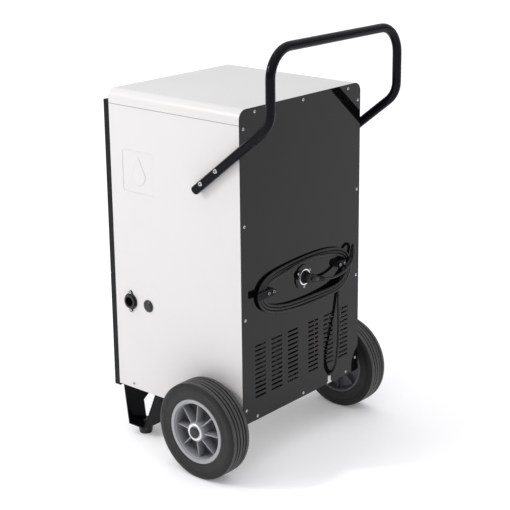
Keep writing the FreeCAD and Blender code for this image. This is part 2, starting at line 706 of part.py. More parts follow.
def cord_route():
    """Housing, up to the left hook, three turns round both hooks, hairpin, plug."""
    points = [(-107.8, 36, 13), (-110.5, 58, 18.5), (-116, 93, 18.5), (-124, 133, 14.8),
              (-131, 174, 9.8), (-134.5, 213, 5.4), (-137, 246, 4.1), (-142.5, 271, 4.1),
              (-152.5, 294, 4.6)]
    for turn in range(3):
        for k, out in enumerate(LOOP_OUT):
            step = TURN_STEP * (2 - turn)
            if turn == 0 and 2 <= k <= 7:              # the first turn's top lies on the others
                step, out = TOP_OF_FIRST[k - 2]
            if turn < 2 and k in (14, 15):             # the bottoms sag apart a little
                step += (1.6, 1.2)[turn] * (1.0, 1.6)[k - 14]
            if k >= 17:                                # and climb out to the next turn's place
                step -= TURN_STEP
            points.append((*inside_loop(k, step), out))
    points += [(-181, 313, 6), (-184.8, 328.5, 6.1), (-187, 343.5, 6.3), (-188, 348.1, 14.2),
               (-187.4, 343.5, 22.1), (-182.4, 328, 22.6), (-169.5, 314, 23), (-150, 302, 22.6),
               (-127, 294.5, 21.4), (-104, 291, 19.6), (-81.5, 291.6, 17.6)]
    inside = [(NOTCH_X, BOX_REAR, 186), (NOTCH_X, 84, 186), (NOTCH_X, 112, 172),
              (NOTCH_X, 136, 158.2), at_panel(NOTCH_X, NOTCH_RISE, 1.5)]
    plug_end = (-PLUG_REACH * math.cos(PLUG_TILT), lead_y.value,
                hook_z.value - PLUG_REACH * math.sin(PLUG_TILT))
    return inside + [at_panel(*p) for p in points] + [plug_end]


cord_points = cord_route()
cord_bends = corner_radii(cord_points)
cord_wire = bent_path(cord_points, cord_bends)
cord = shape("mains_cord", swept(cord_wire, cord_rad.value))
keep(cord)
print("cord length %.0f, volume ratio %.4f" % (
    cord_wire.Length, cord.Shape.Volume / (cord_wire.Length * math.pi * cord_rad.value ** 2)))
print("cord bend radii", [round(r, 1) for r in cord_bends])

keep(ring("cord_bushing", (NOTCH_X, rear_y - 2.5, base_z + NOTCH_RISE), "y", 6.2, cord_rad, 4.5))

# ---------------------------------------------------------------- wheels and axle

rim_rad = S["rim_rad"]
tyre_in, tyre_out = S["wheel_x"], S["wheel_x"] + S["wheel_w"]
hub_in, hub_out = tyre_in + 1, tyre_out + 0.2
tread_w, groove = 6.2, 3.4


def wheel_rim(name, sign):
    web_in, web_out = tyre_in + 21, tyre_in + 27
    profile = [(hub_in, S["axle_rad"] + 0.05), (hub_out, S["axle_rad"] + 0.05), (hub_out, 23.4),
               (web_out + 1, 26.5), (web_out, 65), (tyre_out - 6, 69), (tyre_out - 1.7, 71),
               (tyre_out - 1.4, 79), (tyre_out - 4, rim_rad),
               (tyre_in + 4, rim_rad), (tyre_in + 1.4, 79), (tyre_in + 1.8, 73), (web_in, 69),
               (web_in - 1, 22), (hub_in, 19)]
    body = spun(name, "xz", "H_Axis", (0, axle_y, axle_z), [[(x * sign, r) for x, r in profile]])
    rib = [(tyre_in + 8, 16), (tyre_out - 4.2, 16), (tyre_out - 11, 69.5), (tyre_in + 8, 69.5)]
    blade = pad(body, name + "_rib", "xz", -1.8, 3.6, [[(x * sign, r) for x, r in rib]])
    spokes(body, name + "_ribs", blade, 8)
    return body


def tyre(name, sign):
    tread = [(tyre_out - 8.5, 119.2)]
    edge = tyre_out - 8.5
    for k in range(4):
        near, far = edge - tread_w * (k + 1) - groove * k, edge - (tread_w + groove) * (k + 1)
        tread += [(near, 120), (near, 117), (far, 117), (far, 120)]
    tread.append((tyre_in + 8.5, 119.2))
    profile = [(tyre_in + 4, rim_rad), (tyre_out - 4, rim_rad), (tyre_out - 1.2, 83),
               (tyre_out - 0.4, 92), (tyre_out, 98), (tyre_out - 0.6, 108), (tyre_out - 3.4, 115)]
    profile += tread
    profile += [(tyre_in + 3.4, 115), (tyre_in + 0.6, 108), (tyre_in, 98), (tyre_in + 0.4, 92),
                (tyre_in + 1.2, 83)]
    return spun(name, "xz", "H_Axis", (0, axle_y, axle_z), [[(x * sign, r) for x, r in profile]])


for side, sign in (("right", 1), ("left", -1)):
    keep(wheel_rim("wheel_rim_" + side, sign))
    keep(tyre("tyre_" + side, sign))

axle_end = hub_out + 2.2
collars = [rod("axle_collar_%d" % k, (x, axle_y, axle_z), "x", 10.8, hub_in - 2.2 - 206)
           for k, x in enumerate((206, -(hub_in - 2.2)))]
keep(fuse("axle", [rod("axle_bar", (-axle_end, axle_y, axle_z), "x", S["axle_rad"], axle_end * 2)]
          + collars))
keep(group("axle_washers", [
    ring("axle_washer_%d" % k, (x, axle_y, axle_z), "x", radius, S["axle_rad"], 2)
    for k, (x, radius) in enumerate(((hub_in - 2.2, 17), (-(hub_in - 0.2), 17),
                                     (hub_out + 0.2, 21), (-(hub_out + 2.2), 21)))]))
keep(group("axle_caps", [
    cone("axle_cap_right", (axle_end, axle_y, axle_z), "x", 14.4, 11.5, 3.3),
    cone("axle_cap_left", (-axle_end, axle_y, axle_z), "-x", 14.4, 11.5, 3.3)]))


def saddle(name, x):
    block = span(name + "_block", (x - 15, x + 15), (axle_y - 28, axle_y + 28), (103, base_z))
    bore = rod(name + "_bore", (x - 16, axle_y, axle_z), "x", S["axle_rad"], 32)
    eased = rounded(name + "_eased", block,
                    lambda mid, way: abs(way.x) > 0.9 and mid.z < 104, 12.0)
    return cut(name, eased, [bore])


keep(group("axle_saddles", [saddle("axle_saddle_right", 190), saddle("axle_saddle_left", -190)]))

# ---------------------------------------------------------------- front feet

foot_x = 192.0
foot_front, foot_rear = rear_y - 392, rear_y - 340     # fold lines of the foot plate
leg_front, leg_rear = rear_y - 406, rear_y - 296       # where the legs meet the pan
plate_z = S["plate_gap"]
foot_y = rear_y - 364


def foot_bracket(name, sign):
    x = (foot_x - 29) if sign > 0 else -(foot_x + 29)
    section = [(leg_front - 9, base_z), (leg_front - 9, base_z - 3), (leg_front - 3, base_z - 3),
               (foot_front - 3, plate_z - 3), (foot_rear + 3, plate_z - 3),
               (leg_rear + 3, base_z - 3), (leg_rear + 14, base_z - 3), (leg_rear + 14, base_z),
               (leg_rear - 0.5, base_z), (foot_rear - 0.5, plate_z), (foot_front + 0.5, plate_z),
               (leg_front + 0.5, base_z)]
    hat = prism(name + "_hat", "yz", x, 58, [section])
    lean = (foot_front - leg_front).value / (base_z - plate_z).value
    low, mid = base_z.value - 62, base_z.value - 46
    inner, reach = (foot_x - 29) * sign, (foot_x - 57) * sign
    outline = [(inner, low), (reach, mid), (reach, base_z.value), (inner, base_z.value)]
    rim = [Vector(u, (leg_front.value - 3) + (base_z.value - w) * lean, w) for u, w in outline]
    gusset = Part.Face(Part.makePolygon(rim + rim[:1])).extrude(Vector(0, 3.3, 0))
    hole = rod(name + "_hole", (foot_x * sign, foot_y, plate_z - 4), "z", 5.1, 5)
    return cut(name, fuse(name + "_mass", [hat, shape(name + "_gusset", gusset)]), [hole])


keep(group("foot_brackets", [foot_bracket("foot_bracket_right", 1),
                             foot_bracket("foot_bracket_left", -1)]))
keep(group("rubber_feet", [
    fuse(name, [cone(name + "_pad", (x, foot_y, 0), "z", 16, 19.5, plate_z - 3),
                rod(name + "_stud", (x, foot_y, plate_z - 4), "z", 5, 10)])
    for name, x in (("rubber_foot_right", foot_x), ("rubber_foot_left", -foot_x))]))

# ---------------------------------------------------------------- upper front panel

panel_half = half_w - 2
gap_z = S["panel_gap"]
upper_top = S["panel_top"]
filter_z = (469.0, 771.0)
BUTTON_X = (12, 38, 64, 90)
control_z = upper_top - 41

front = doc.addObject("PartDesign::Body", "upper_front_panel")
pad(front, "upper_block", "xz", nose_y, front_y - nose_y,
    [rect((-panel_half, panel_half), (gap_z, upper_top))])
side_x = panel_half - steel
ledges = [(filter_z[0] - 3, filter_z[0] - 0.3), (filter_z[1] + 0.3, filter_z[1] + 3)]
hollow_loops = [rect((-side_x, side_x), (gap_z + steel, ledges[0][0])),
                rect((-side_x, 168), (ledges[0][1], ledges[1][0])),
                rect((170, side_x), (ledges[0][0] + 2, ledges[1][1] - 2)),
                rect((-side_x, side_x), (ledges[1][1], upper_top - steel))]
pocket(front, "upper_hollow", "xz", nose_y + steel, 30, hollow_loops)
intake_slot = pocket(front, "intake_slot", "xz", nose_y - 1, 4, [rect((-155, 155), (486, 494))])
row(front, "intake_slots", intake_slot, "V_Axis", 256, 17)
pocket(front, "control_window", "xz", nose_y - 1, 4,
       [rect((-112, 112), (control_z - 26, control_z + 26))])
pocket(front, "filter_mouth", "yz", -panel_half - 1, 4,
       [rect((nose_y + 4, front_y - 4), (filter_z[0] - 0.3, filter_z[1] + 0.3))])
keep(front)

fascia = prism("control_fascia", "xz", nose_y + steel, 3, [
    rect((-118, 118), (control_z - 31, control_z + 31)),
    rect((-98, -34), (control_z - 15, control_z + 15)),
    *[("circle", (x, control_z), 8.4) for x in BUTTON_X],
    *[("circle", (-14, control_z + dz), 2.2) for dz in (-9, 0, 9)]])
keep(fascia)
keep(span("display_window", (-98, -34), (nose_y + steel + 0.4, nose_y + steel + 2.8),
          (control_z - 15, control_z + 15)))
keep(group("indicator_lamps", [
    fuse("lamp_%d" % k, [
        rod("lamp_lens_%d" % k, (-14, nose_y + 1.2, control_z + dz), "y", 2.0, 3.5),
        rod("lamp_base_%d" % k, (-14, nose_y + steel + 3, control_z + dz), "y", 3.2, 4)])
    for k, dz in enumerate((-9, 0, 9))]))
for label, x in zip(("power", "mode", "up", "down"), BUTTON_X):
    keep(fuse("button_" + label, [
        rod("cap_" + label, (x, nose_y + 0.3, control_z), "y", 7.9, 6),
        rod("collar_" + label, (x, nose_y + steel + 3.2, control_z), "y", 9.4, 1.5)]))

frame_y = (nose_y + 5, front_y - 5)
filter_low, filter_high = filter_z
windows = [rect((-213 + k * 94.5, -213 + k * 94.5 + 84), (filter_low + 10, filter_high - 10))
           for k in range(4)]
grid = prism("filter_grid", "xz", frame_y[0], frame_y[1] - frame_y[0],
             [rect((-220, 167), filter_z)] + windows)
tab = span("filter_tab", (-229, -220), (frame_y[0] + 1, frame_y[1] - 1), (590, 650))
keep(fuse("filter_frame", [grid, tab]))
middle_y = (frame_y[0] + frame_y[1]) / 2
keep(group("filter_mesh", [
    span("mesh_%d" % k, (-213 + k * 94.5, -213 + k * 94.5 + 84), (middle_y - 1, middle_y + 1),
         (filter_low + 10, filter_high - 10)) for k in range(4)]))

# ---------------------------------------------------------------- tank drawer

door = doc.addObject("PartDesign::Body", "tank_front_panel")
door_z = (base_z - 7.5, gap_z - 1.5)
grip = ((-70, 70), (374, 402))
pad(door, "door_block", "xz", nose_y, front_y - nose_y - 0.4, [rect((-panel_half, panel_half), door_z)])
pocket(door, "door_hollow", "xz", nose_y + steel, 30,
       [rect((-side_x, side_x), (door_z[0] + steel, door_z[1] - steel)),
        rect((-71.5, 71.5), (grip[1][0] - 1.5, grip[1][1] + 1.5))])
pocket(door, "door_grip", "xz", nose_y - 1, 17.5, [rect(*grip)])
keep(door)

tank_y = (nose_y + steel, -68.0)
tank_z = (160.0, 362.0)


def tank_block(name, inset, top):
    block = span(name + "_block", (-178 + inset, 178 - inset),
                 (tank_y[0] + inset, tank_y[1] - inset), (tank_z[0] + inset, top))
    return rounded(name, block, lambda mid, way: abs(way.z) > 0.9, 15.0 - inset)


tank_shell = cut("tank_shell", tank_block("tank_outside", 0, tank_z[1]),
                 [tank_block("tank_inside", 3, tank_z[1] + 5)])
pivot_y, pivot_z = -80.0, 347.0
lugs = [cut("tank_lug_%d" % k,
            span("tank_lug_block_%d" % k, (x, x + 5), (pivot_y - 7, tank_y[1] - 3),
                 (pivot_z - 9, pivot_z + 7)),
            [rod("tank_lug_bore_%d" % k, (x - 1, pivot_y, pivot_z), "x", 2.05, 7)])
        for k, x in enumerate((-17, 12))]
keep(fuse("condensate_tank", [tank_shell] + lugs))
keep(fuse("tank_float", [
    rod("float_pin", (-17, pivot_y, pivot_z), "x", 2.0, 34),
    rod("float_hub", (-11, pivot_y, pivot_z), "x", 4.5, 22),
    span("float_arm", (-8, 8), (pivot_y - 75, pivot_y), (pivot_z - 2, pivot_z + 2)),
    rounded("float_block", span("float_raw", (-30, 30), (pivot_y - 120, pivot_y - 70),
                                (pivot_z - 30, pivot_z - 2)),
            lambda mid, way: abs(way.z) > 0.9, 8.0)]))

# ---------------------------------------------------------------- compressor bay

comp_x, comp_y = 70.0, 48.0
comp_rad = S["comp_rad"]
keep(spun("compressor", "xz", "V_Axis", (comp_x, comp_y, 0), [
    [(0, 158), (comp_rad + 8, 158), (comp_rad + 8, 162), (70, 162), (82, 172), (comp_rad, 188),
     (comp_rad, 330), (comp_rad - 5, 350), (66, 370), (30, 379), (0, 380)]]))
keep(group("compressor_mounts", [
    rod("comp_mount_%d" % k, (comp_x + 82 * math.cos(a), comp_y + 82 * math.sin(a), base_z + 2),
        "z", 12, 25) for k, a in enumerate((math.pi / 2, math.pi * 7 / 6, math.pi * 11 / 6))]))
keep(cut("terminal_cover",
         span("cover_block", (comp_x - 22, comp_x + 22), (comp_y - 110, comp_y - 60), (215, 285)),
         [rod("cover_seat", (comp_x, comp_y, 200), "z", comp_rad, 120)]))
keep(spun("filter_drier", "xz", "V_Axis", (-58, 108, 0), [
    [(0, 196), (5, 196), (7, 206), (17, 218), (17, 298), (7, 310), (5, 320), (0, 320)]]))

electrics = span("electrics_case", (-200, -95), (-40, BOX_REAR), (base_z + 2, 330))
lid = span("electrics_lid", (-203, -92), (-43, BOX_REAR), (330, 336))
keep(fuse("electrics_box", [electrics, lid]))

# ---------------------------------------------------------------- air path

coil_half = 165.0
coil_low, coil_high = 455.0, 775.0
PIPE_RAD = 4.5


def coil(name, y, bends_from):
    """A finned block with return bends standing out of both end plates."""
    block = span(name + "_fins", (-coil_half, coil_half), (y - 27.5, y + 27.5),
                 (coil_low, coil_high))
    parts = [block]
    for sign in (-1, 1):
        for k in range(6):
            z = bends_from + k * 50 + (25 if sign < 0 else 0)
            if z + 25 > coil_high - 6:
                continue
            x = coil_half * sign
            path = bent_path([(x, y, z), (x + 16 * sign, y, z), (x + 16 * sign, y, z + 25),
                              (x, y, z + 25)], (12, 12))
            parts.append(shape("%s_bend_%s_%d" % (name, "l" if sign < 0 else "r", k),
                               swept(path, PIPE_RAD)))
    return fuse(name, parts)


evap_y, cond_y = -207.5, -140.5
keep(coil("evaporator", evap_y, 470))
keep(coil("condenser", cond_y, 470))

tray_z = S["deck_z"] + steel
tray_rim = span("tray_rim", (-175, 175), (-240, -106), (tray_z, coil_low))
tray_dip = span("tray_dip", (-173, 173), (-238, -108), (tray_z + 2, coil_low))
spout = rod("tray_spout", (0, -150, tray_z - 24), "z", 9, 24)
drain = rod("tray_drain", (0, -150, tray_z - 25), "z", 6.5, 30)
rests = [span("tray_rest_%d" % k, (x - 4, x + 4), (-238, -108), (tray_z + 2, coil_low))
         for k, x in enumerate((-150, 150))]
keep(cut("drip_tray", fuse("tray_mass", [cut("tray_cup", tray_rim, [tray_dip]), spout] + rests),
         [drain]))

fan_z = 640.0
fan_rad = S["fan_rad"]
shroud = prism("shroud_plate", "xz", -76, 2, [
    rect((-198, 198), (tray_z, seam_z - 2)), ("circle", (0, fan_z), fan_rad + 6)])
shroud_lip = ring("shroud_lip", (0, -76, fan_z), "y", fan_rad + 8, fan_rad + 6, 30)
arms = [span("shroud_arm_%d" % k, x, (-14, -10), z)
        for k, (x, z) in enumerate((((-170, 170), (fan_z - 70, fan_z - 50)),
                                    ((-170, 170), (fan_z + 50, fan_z + 70))))]
posts = [span("shroud_post_%d_%d" % (i, j), (x - 4, x + 4), (-76, -10), (z - 10, z + 10))
         for i, x in enumerate((-166, 166)) for j, z in enumerate((fan_z - 60, fan_z + 60))]
ties = [span("shroud_tie_%d" % k, (x - 8, x + 8), (-14, -10), (fan_z - 70, fan_z + 70))
        for k, x in enumerate((-40, 40))]
keep(fuse("fan_shroud", [shroud, shroud_lip] + arms + posts + ties))
keep(fuse("fan_motor", [rod("motor_can", (0, -10, fan_z), "y", 52, 70),
                        rod("motor_shaft", (0, -66, fan_z), "y", 5, 58)]))


def rotor_shape():
    """Five pitched blades on a hub, turning about +Y."""
    hub = Part.makeCylinder(42, 36, Vector(0, 0, 0), Vector(0, 1, 0))
    made = [hub]
    for k in range(5):
        blade = Part.makeBox(52, 3, fan_rad.value - 36, Vector(-26, -1.5, 34))
        blade.rotate(Vector(0, 0, 0), Vector(0, 0, 1), 32)
        blade.translate(Vector(0, 18, 0))
        blade.rotate(Vector(0, 0, 0), Vector(0, 1, 0), 72 * k)
        made.append(blade)
    whole = made[0].multiFuse(made[1:])
    disc = Part.makeCylinder(fan_rad.value, 60, Vector(0, -10, 0), Vector(0, 1, 0))
    whole = whole.common(disc)
    return whole.cut(Part.makeCylinder(5.05, 60, Vector(0, -10, 0), Vector(0, 1, 0)))


rotor = shape("fan_rotor", rotor_shape())
rotor.Placement.Base = Vector(0, -60, fan_z)
keep(rotor)

# Copper lines; each ends on the face it feeds.
lines = [
    ("hot_line", 5.0, [(comp_x - 26, comp_y + 14, 376), (comp_x - 26, comp_y + 14, 410),
                       (-208, 132, 410), (-208, 132, 500), (-208, -155, 500),
                       (-coil_half, -155, 500)]),
    ("cold_line", 6.0, [(comp_x + 28, comp_y + 12, 376), (comp_x + 28, comp_y + 12, 408),
                        (208, 140, 408), (208, 140, 520), (208, -226, 520),
                        (coil_half, -226, 520)]),
    ("liquid_line", 3.0, [(-58, 108, 320), (-58, 108, 450), (-208, 108, 450), (-208, -127, 450),
                          (-208, -127, 462), (-coil_half, -127, 462)]),
    ("capillary", 2.0, [(-58, 108, 196), (-58, 108, 178), (-88, 128, 178), (-88, 128, 440),
                        (208, 128, 440), (208, -189, 440), (208, -189, 470),
                        (coil_half, -189, 470)]),
]
copper = []
for name, radius, points in lines:
    radii = [min(r, 18) for r in corner_radii(points, 0.48)]
    copper.append(swept(bent_path(points, radii), radius))
shell = [n for n in nodes if n.Label == "compressor"][0]
doc.recompute()
copper[0] = copper[0].cut(shell.Shape)
copper[1] = copper[1].cut(shell.Shape)
keep(shape("refrigerant_pipes", Part.makeCompound(copper)))
for name, radius, x, y in (("hot", 6.5, -208, 132), ("cold", 7.5, 208, 140),
                           ("liquid", 4.5, -58, 108), ("capillary", 3.5, -88, 128)):
    pocket(deck, "deck_hole_" + name, "xy", S["deck_z"] - 1, 4, [("circle", (x, y), radius)])

# ---------------------------------------------------------------- checks and export

doc.recompute()
bad = [o.Label for o in doc.Objects if "Invalid" in o.State or "Error" in o.State]
if bad:
    raise RuntimeError("failed objects: " + ", ".join(bad))
os.makedirs("parts", exist_ok=True)
for node in nodes:
    made = node.Shape
    if made.isNull() or not made.isValid() or not made.Solids:
        raise RuntimeError("no valid solid in " + node.Label)
    made.exportStep("parts/%s.step" % node.Label)
    print("%-22s solids %2d  volume %9.0f" % (node.Label, len(made.Solids), made.Volume))
print("nodes", len(nodes))
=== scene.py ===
"""The finished looks of a wheeled commercial dehumidifier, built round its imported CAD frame."""

import json
import math

import bmesh
import bpy
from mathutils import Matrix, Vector


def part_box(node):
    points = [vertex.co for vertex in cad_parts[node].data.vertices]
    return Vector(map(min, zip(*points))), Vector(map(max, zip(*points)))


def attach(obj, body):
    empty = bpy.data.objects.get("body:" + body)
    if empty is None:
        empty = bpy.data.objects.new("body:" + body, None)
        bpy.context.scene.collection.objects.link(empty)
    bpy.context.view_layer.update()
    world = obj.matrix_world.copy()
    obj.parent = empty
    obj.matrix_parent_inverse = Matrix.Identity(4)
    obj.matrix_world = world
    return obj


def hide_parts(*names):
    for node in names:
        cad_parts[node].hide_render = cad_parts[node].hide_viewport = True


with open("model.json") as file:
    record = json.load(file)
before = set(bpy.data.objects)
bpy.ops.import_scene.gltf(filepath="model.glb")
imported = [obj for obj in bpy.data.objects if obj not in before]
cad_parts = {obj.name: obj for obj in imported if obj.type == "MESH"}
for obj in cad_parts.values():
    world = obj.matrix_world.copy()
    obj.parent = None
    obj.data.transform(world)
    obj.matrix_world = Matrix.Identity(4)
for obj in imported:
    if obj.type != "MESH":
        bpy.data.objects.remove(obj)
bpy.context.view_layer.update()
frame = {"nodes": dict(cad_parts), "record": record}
nodes = frame["nodes"]
scene = bpy.context.scene

# ---------------------------------------------------------------- camera

CAMERA_AT = (2.4139, 2.1070, 1.4992)
CAMERA_TURN, CAMERA_DOWN = 128.711, 16.128          # degrees round from -Y, and below level
LENS, SHIFT = 95.238, (-0.1000, -0.0804)


def make_camera():
    data = bpy.data.cameras.new("camera")
    data.lens, data.sensor_width = LENS, 36.0
    data.shift_x, data.shift_y = SHIFT
    data.clip_start, data.clip_end = 0.05, 100.0
    camera = bpy.data.objects.new("camera", data)
    camera.location = CAMERA_AT
    camera.rotation_euler = (math.radians(90 - CAMERA_DOWN), 0, math.radians(CAMERA_TURN))
    scene.collection.objects.link(camera)
    scene.camera = camera


make_camera()

# ---------------------------------------------------------------- sizes read from the frame

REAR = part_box("rear_panel")[1].y                     # rear face of the rear panel
FLOOR_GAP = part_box("casing_side_right")[0].z         # underside of the casing
HOOK_Z = sum(p.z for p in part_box("plug_holder")) / 2
AXLE_Y = sum(p.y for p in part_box("tyre_right")) / 2
AXLE_Z = sum(p.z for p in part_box("tyre_right")) / 2
MM = 0.001

# ---------------------------------------------------------------- node material kit


class Shade:
    """A node material under construction; every call adds a node and hands back its socket."""

    def __init__(self, name):
        self.mat = bpy.data.materials.new(name)
        self.mat.use_nodes = True
        self.tree = self.mat.node_tree
        self.tree.nodes.clear()
        out = self.tree.nodes.new("ShaderNodeOutputMaterial")
        self.bsdf = self.tree.nodes.new("ShaderNodeBsdfPrincipled")
        self.tree.links.new(self.bsdf.outputs[0], out.inputs["Surface"])
        self.place = self.tree.nodes.new("ShaderNodeTexCoord").outputs["Object"]

    def node(self, kind, inputs=(), **settings):
        made = self.tree.nodes.new("ShaderNode" + kind)
        for key, value in settings.items():
            setattr(made, key, value)
        for key, value in dict(inputs).items():
            self.feed(made.inputs[key], value)
        return made

    def feed(self, socket, value):
        if isinstance(value, bpy.types.NodeSocket):
            self.tree.links.new(value, socket)
        else:
            socket.default_value = value

    def noise(self, scale, detail=4.0, rough=0.55):
        return self.node("TexNoise", {"Vector": self.place, "Scale": scale, "Detail": detail,
                                      "Roughness": rough}).outputs["Fac"]

    def span(self, value, low, high, from_low=0.3, from_high=0.7):
        return self.node("MapRange", {"Value": value, "From Min": from_low, "From Max": from_high,
                                      "To Min": low, "To Max": high}).outputs[0]

    def band(self, length, low, high, start, end):
        """From low to high while a length in metres goes from start to end in millimetres."""
        return self.span(length, low, high, start * MM, end * MM)

    def mix(self, fac, one, two):
        made = self.node("Mix", data_type="RGBA")
        self.feed(made.inputs["Factor"], fac)
        for key, value in (("A", one), ("B", two)):
            socket = [s for s in made.inputs if s.name == key and s.type == "RGBA"][0]
            if isinstance(value, tuple) and len(value) == 3:
                value = (*value, 1)
            self.feed(socket, value)
        return [s for s in made.outputs if s.type == "RGBA"][0]

    def math(self, operation, one, two=0.5):
        return self.node("Math", {0: one, 1: two}, operation=operation).outputs[0]

    def wheel_place(self):
        """Distance from the axle, and distance out from the middle of the machine, in metres."""
        split = self.node("SeparateXYZ", {0: self.place}).outputs
        y, z = self.math("SUBTRACT", split[1], AXLE_Y), self.math("SUBTRACT", split[2], AXLE_Z)
        square = self.math("ADD", self.math("MULTIPLY", y, y), self.math("MULTIPLY", z, z))
        return self.math("SQRT", square), self.math("ABSOLUTE", split[0])

    def bump(self, height, strength, distance=0.0005, bevel=0.0):
        made = self.node("Bump", {"Height": height, "Strength": strength, "Distance": distance})
        if bevel:
            self.feed(made.inputs["Normal"], self.node("Bevel", {"Radius": bevel},
                                                       samples=4).outputs[0])
        self.feed(self.bsdf.inputs["Normal"], made.outputs[0])

    def set(self, **values):
        for key, value in values.items():
            name = {"color": "Base Color", "rough": "Roughness", "metal": "Metallic",
                    "ior": "IOR", "specular": "Specular IOR Level",
                    "glow": "Emission Strength", "glow_color": "Emission Color"}[key]
            if isinstance(value, tuple) and len(value) == 3:
                value = (*value, 1)
            self.feed(self.bsdf.inputs[name], value)
        return self.mat


def tint(color, factor):
    return tuple(min(1.0, c * factor) for c in color)


PAINT_EDGE, PLASTIC_EDGE, METAL_EDGE = 1.2 * MM, 0.8 * MM, 0.5 * MM     # how soft edges look
SEAM_LINE = 0.6, 1.0                     # half width of a seam's dark line, and where it has faded
RING_STEP, RING_EDGE = 2.2, (0.4, 1.8)   # painted highlight lines for the sidewall's fine moulded rings
RINGS_END, SHOULDER_SHADE = (97, 102), (104, 116)         # radii on the tyre, in millimetres; over the second pair the sidewall takes painted shade toward the shoulder
TREAD_EDGE, RIB_EDGE = (115.9, 116.3), (118.2, 119.4)
POCKET_DEPTH = 268, 297                  # out from the machine's middle, deep to flush: over this the rim's painted pocket shade fades out


def powder_coat(name, color, rough, peel=0.10, vary=0.06, ior=1.5, bevel=PAINT_EDGE, seam=None):
    """Sprayed paint: orange peel, faint blotches, a dark line along a seam at a given height."""
    s = Shade(name)
    blotch = s.noise(3.2, 5.0, 0.6)
    fine = s.noise(260.0, 3.0, 0.5)
    toned = s.mix(s.span(blotch, 0.0, 1.0), tint(color, 1 - vary), tint(color, 1 + vary * 0.5))
    if seam:
        height = s.node("SeparateXYZ", {0: s.place}).outputs[2]
        near = s.math("ABSOLUTE", s.math("SUBTRACT", height, seam))
        toned = s.mix(s.band(near, 1.0, 0.0, *SEAM_LINE), toned, tint(color, 0.42))
    s.bump(fine, peel, 0.2 * MM, bevel)
    return s.set(color=toned, rough=s.span(blotch, rough * 0.88, rough * 1.12), ior=ior)


def moulded(name, color, rough=0.5, grain=0.22, scale=900.0, ior=1.46):
    """Moulded plastic with a fine spark-eroded grain."""
    s = Shade(name)
    blotch = s.noise(9.0, 4.0, 0.6)
    toned = s.mix(s.span(blotch, 0.0, 1.0), tint(color, 0.88), tint(color, 1.12))
    s.bump(s.noise(scale, 2.0, 0.5), grain, 0.2 * MM, PLASTIC_EDGE)
    return s.set(color=toned, rough=s.span(s.noise(22.0), rough - 0.05, rough + 0.07), ior=ior)


def metal(name, color, rough=0.3, grain=0.12, scale=300.0):
    """Bare or plated metal with a fine grain."""
    s = Shade(name)
    fine = s.noise(scale, 3.0, 0.6)
    blotch = s.noise(14.0, 3.0)
    toned = s.mix(s.span(blotch, 0.0, 1.0), tint(color, 0.9), tint(color, 1.05))
    s.bump(fine, grain, 0.1 * MM, METAL_EDGE)
    return s.set(color=toned, metal=1.0, rough=s.span(fine, rough * 0.8, rough * 1.25))


def tyre_paint(name, wall, rib, groove_shade):
    """Solid rubber: dark sidewall with moulded rings drawn as painted highlight lines and painted
    shade toward the shoulder, scuffed ribs, and painted shade in the grooves.
    """
    s = Shade(name)
    radius, _ = s.wheel_place()
    scuff = s.noise(30.0, 4.0, 0.6)
    # painted highlight: the fine moulded rings are drawn as lighter lines on the sidewall
    rings = s.math("PINGPONG", radius, RING_STEP * MM)
    ring_highlight = s.math("MULTIPLY", s.band(rings, 0.0, 1.0, *RING_EDGE),
                    s.band(radius, 1.0, 0.0, *RINGS_END))
    side = s.mix(ring_highlight, wall, tint(wall, 3.0))
    # painted shade: the sidewall darkens toward the shoulder
    side = s.mix(s.band(radius, 0.0, 1.0, *SHOULDER_SHADE), side, tint(wall, 0.7))
    ribs = s.mix(s.span(scuff, 0.0, 1.0), tint(rib, 0.8), tint(rib, 1.25))
    # painted shade: the grooves between the ribs take a much darker colour
    tread = s.mix(s.band(radius, 0.0, 1.0, *RIB_EDGE), groove_shade, ribs)
    s.bump(s.noise(350.0, 2.0, 0.5), 0.22, 0.2 * MM, 0.6 * MM)
    return s.set(color=s.mix(s.band(radius, 0.0, 1.0, *TREAD_EDGE), side, tread),
                 rough=s.span(scuff, 0.42, 0.55), ior=1.38)


def rim_paint(name, face, deep):
    """Satin moulded rim, light on its outer edges, with painted shade making it darker the further
    in it lies, down in the pockets and behind the web.
    """
    s = Shade(name)
    _, out = s.wheel_place()
    blotch = s.noise(14.0, 4.0, 0.6)
    # painted shade: darker the further toward the machine's middle, with random blotches of tone
    pocket_shade_and_blotch = s.math("ADD", s.band(out, 1.0, 0.0, *POCKET_DEPTH), s.span(blotch, -0.12, 0.12))
    s.bump(s.noise(420.0, 2.0, 0.5), 0.10, 0.2 * MM, 0.8 * MM)
    return s.set(color=s.mix(pocket_shade_and_blotch, face, deep), rough=s.span(blotch, 0.24, 0.34), ior=1.5)


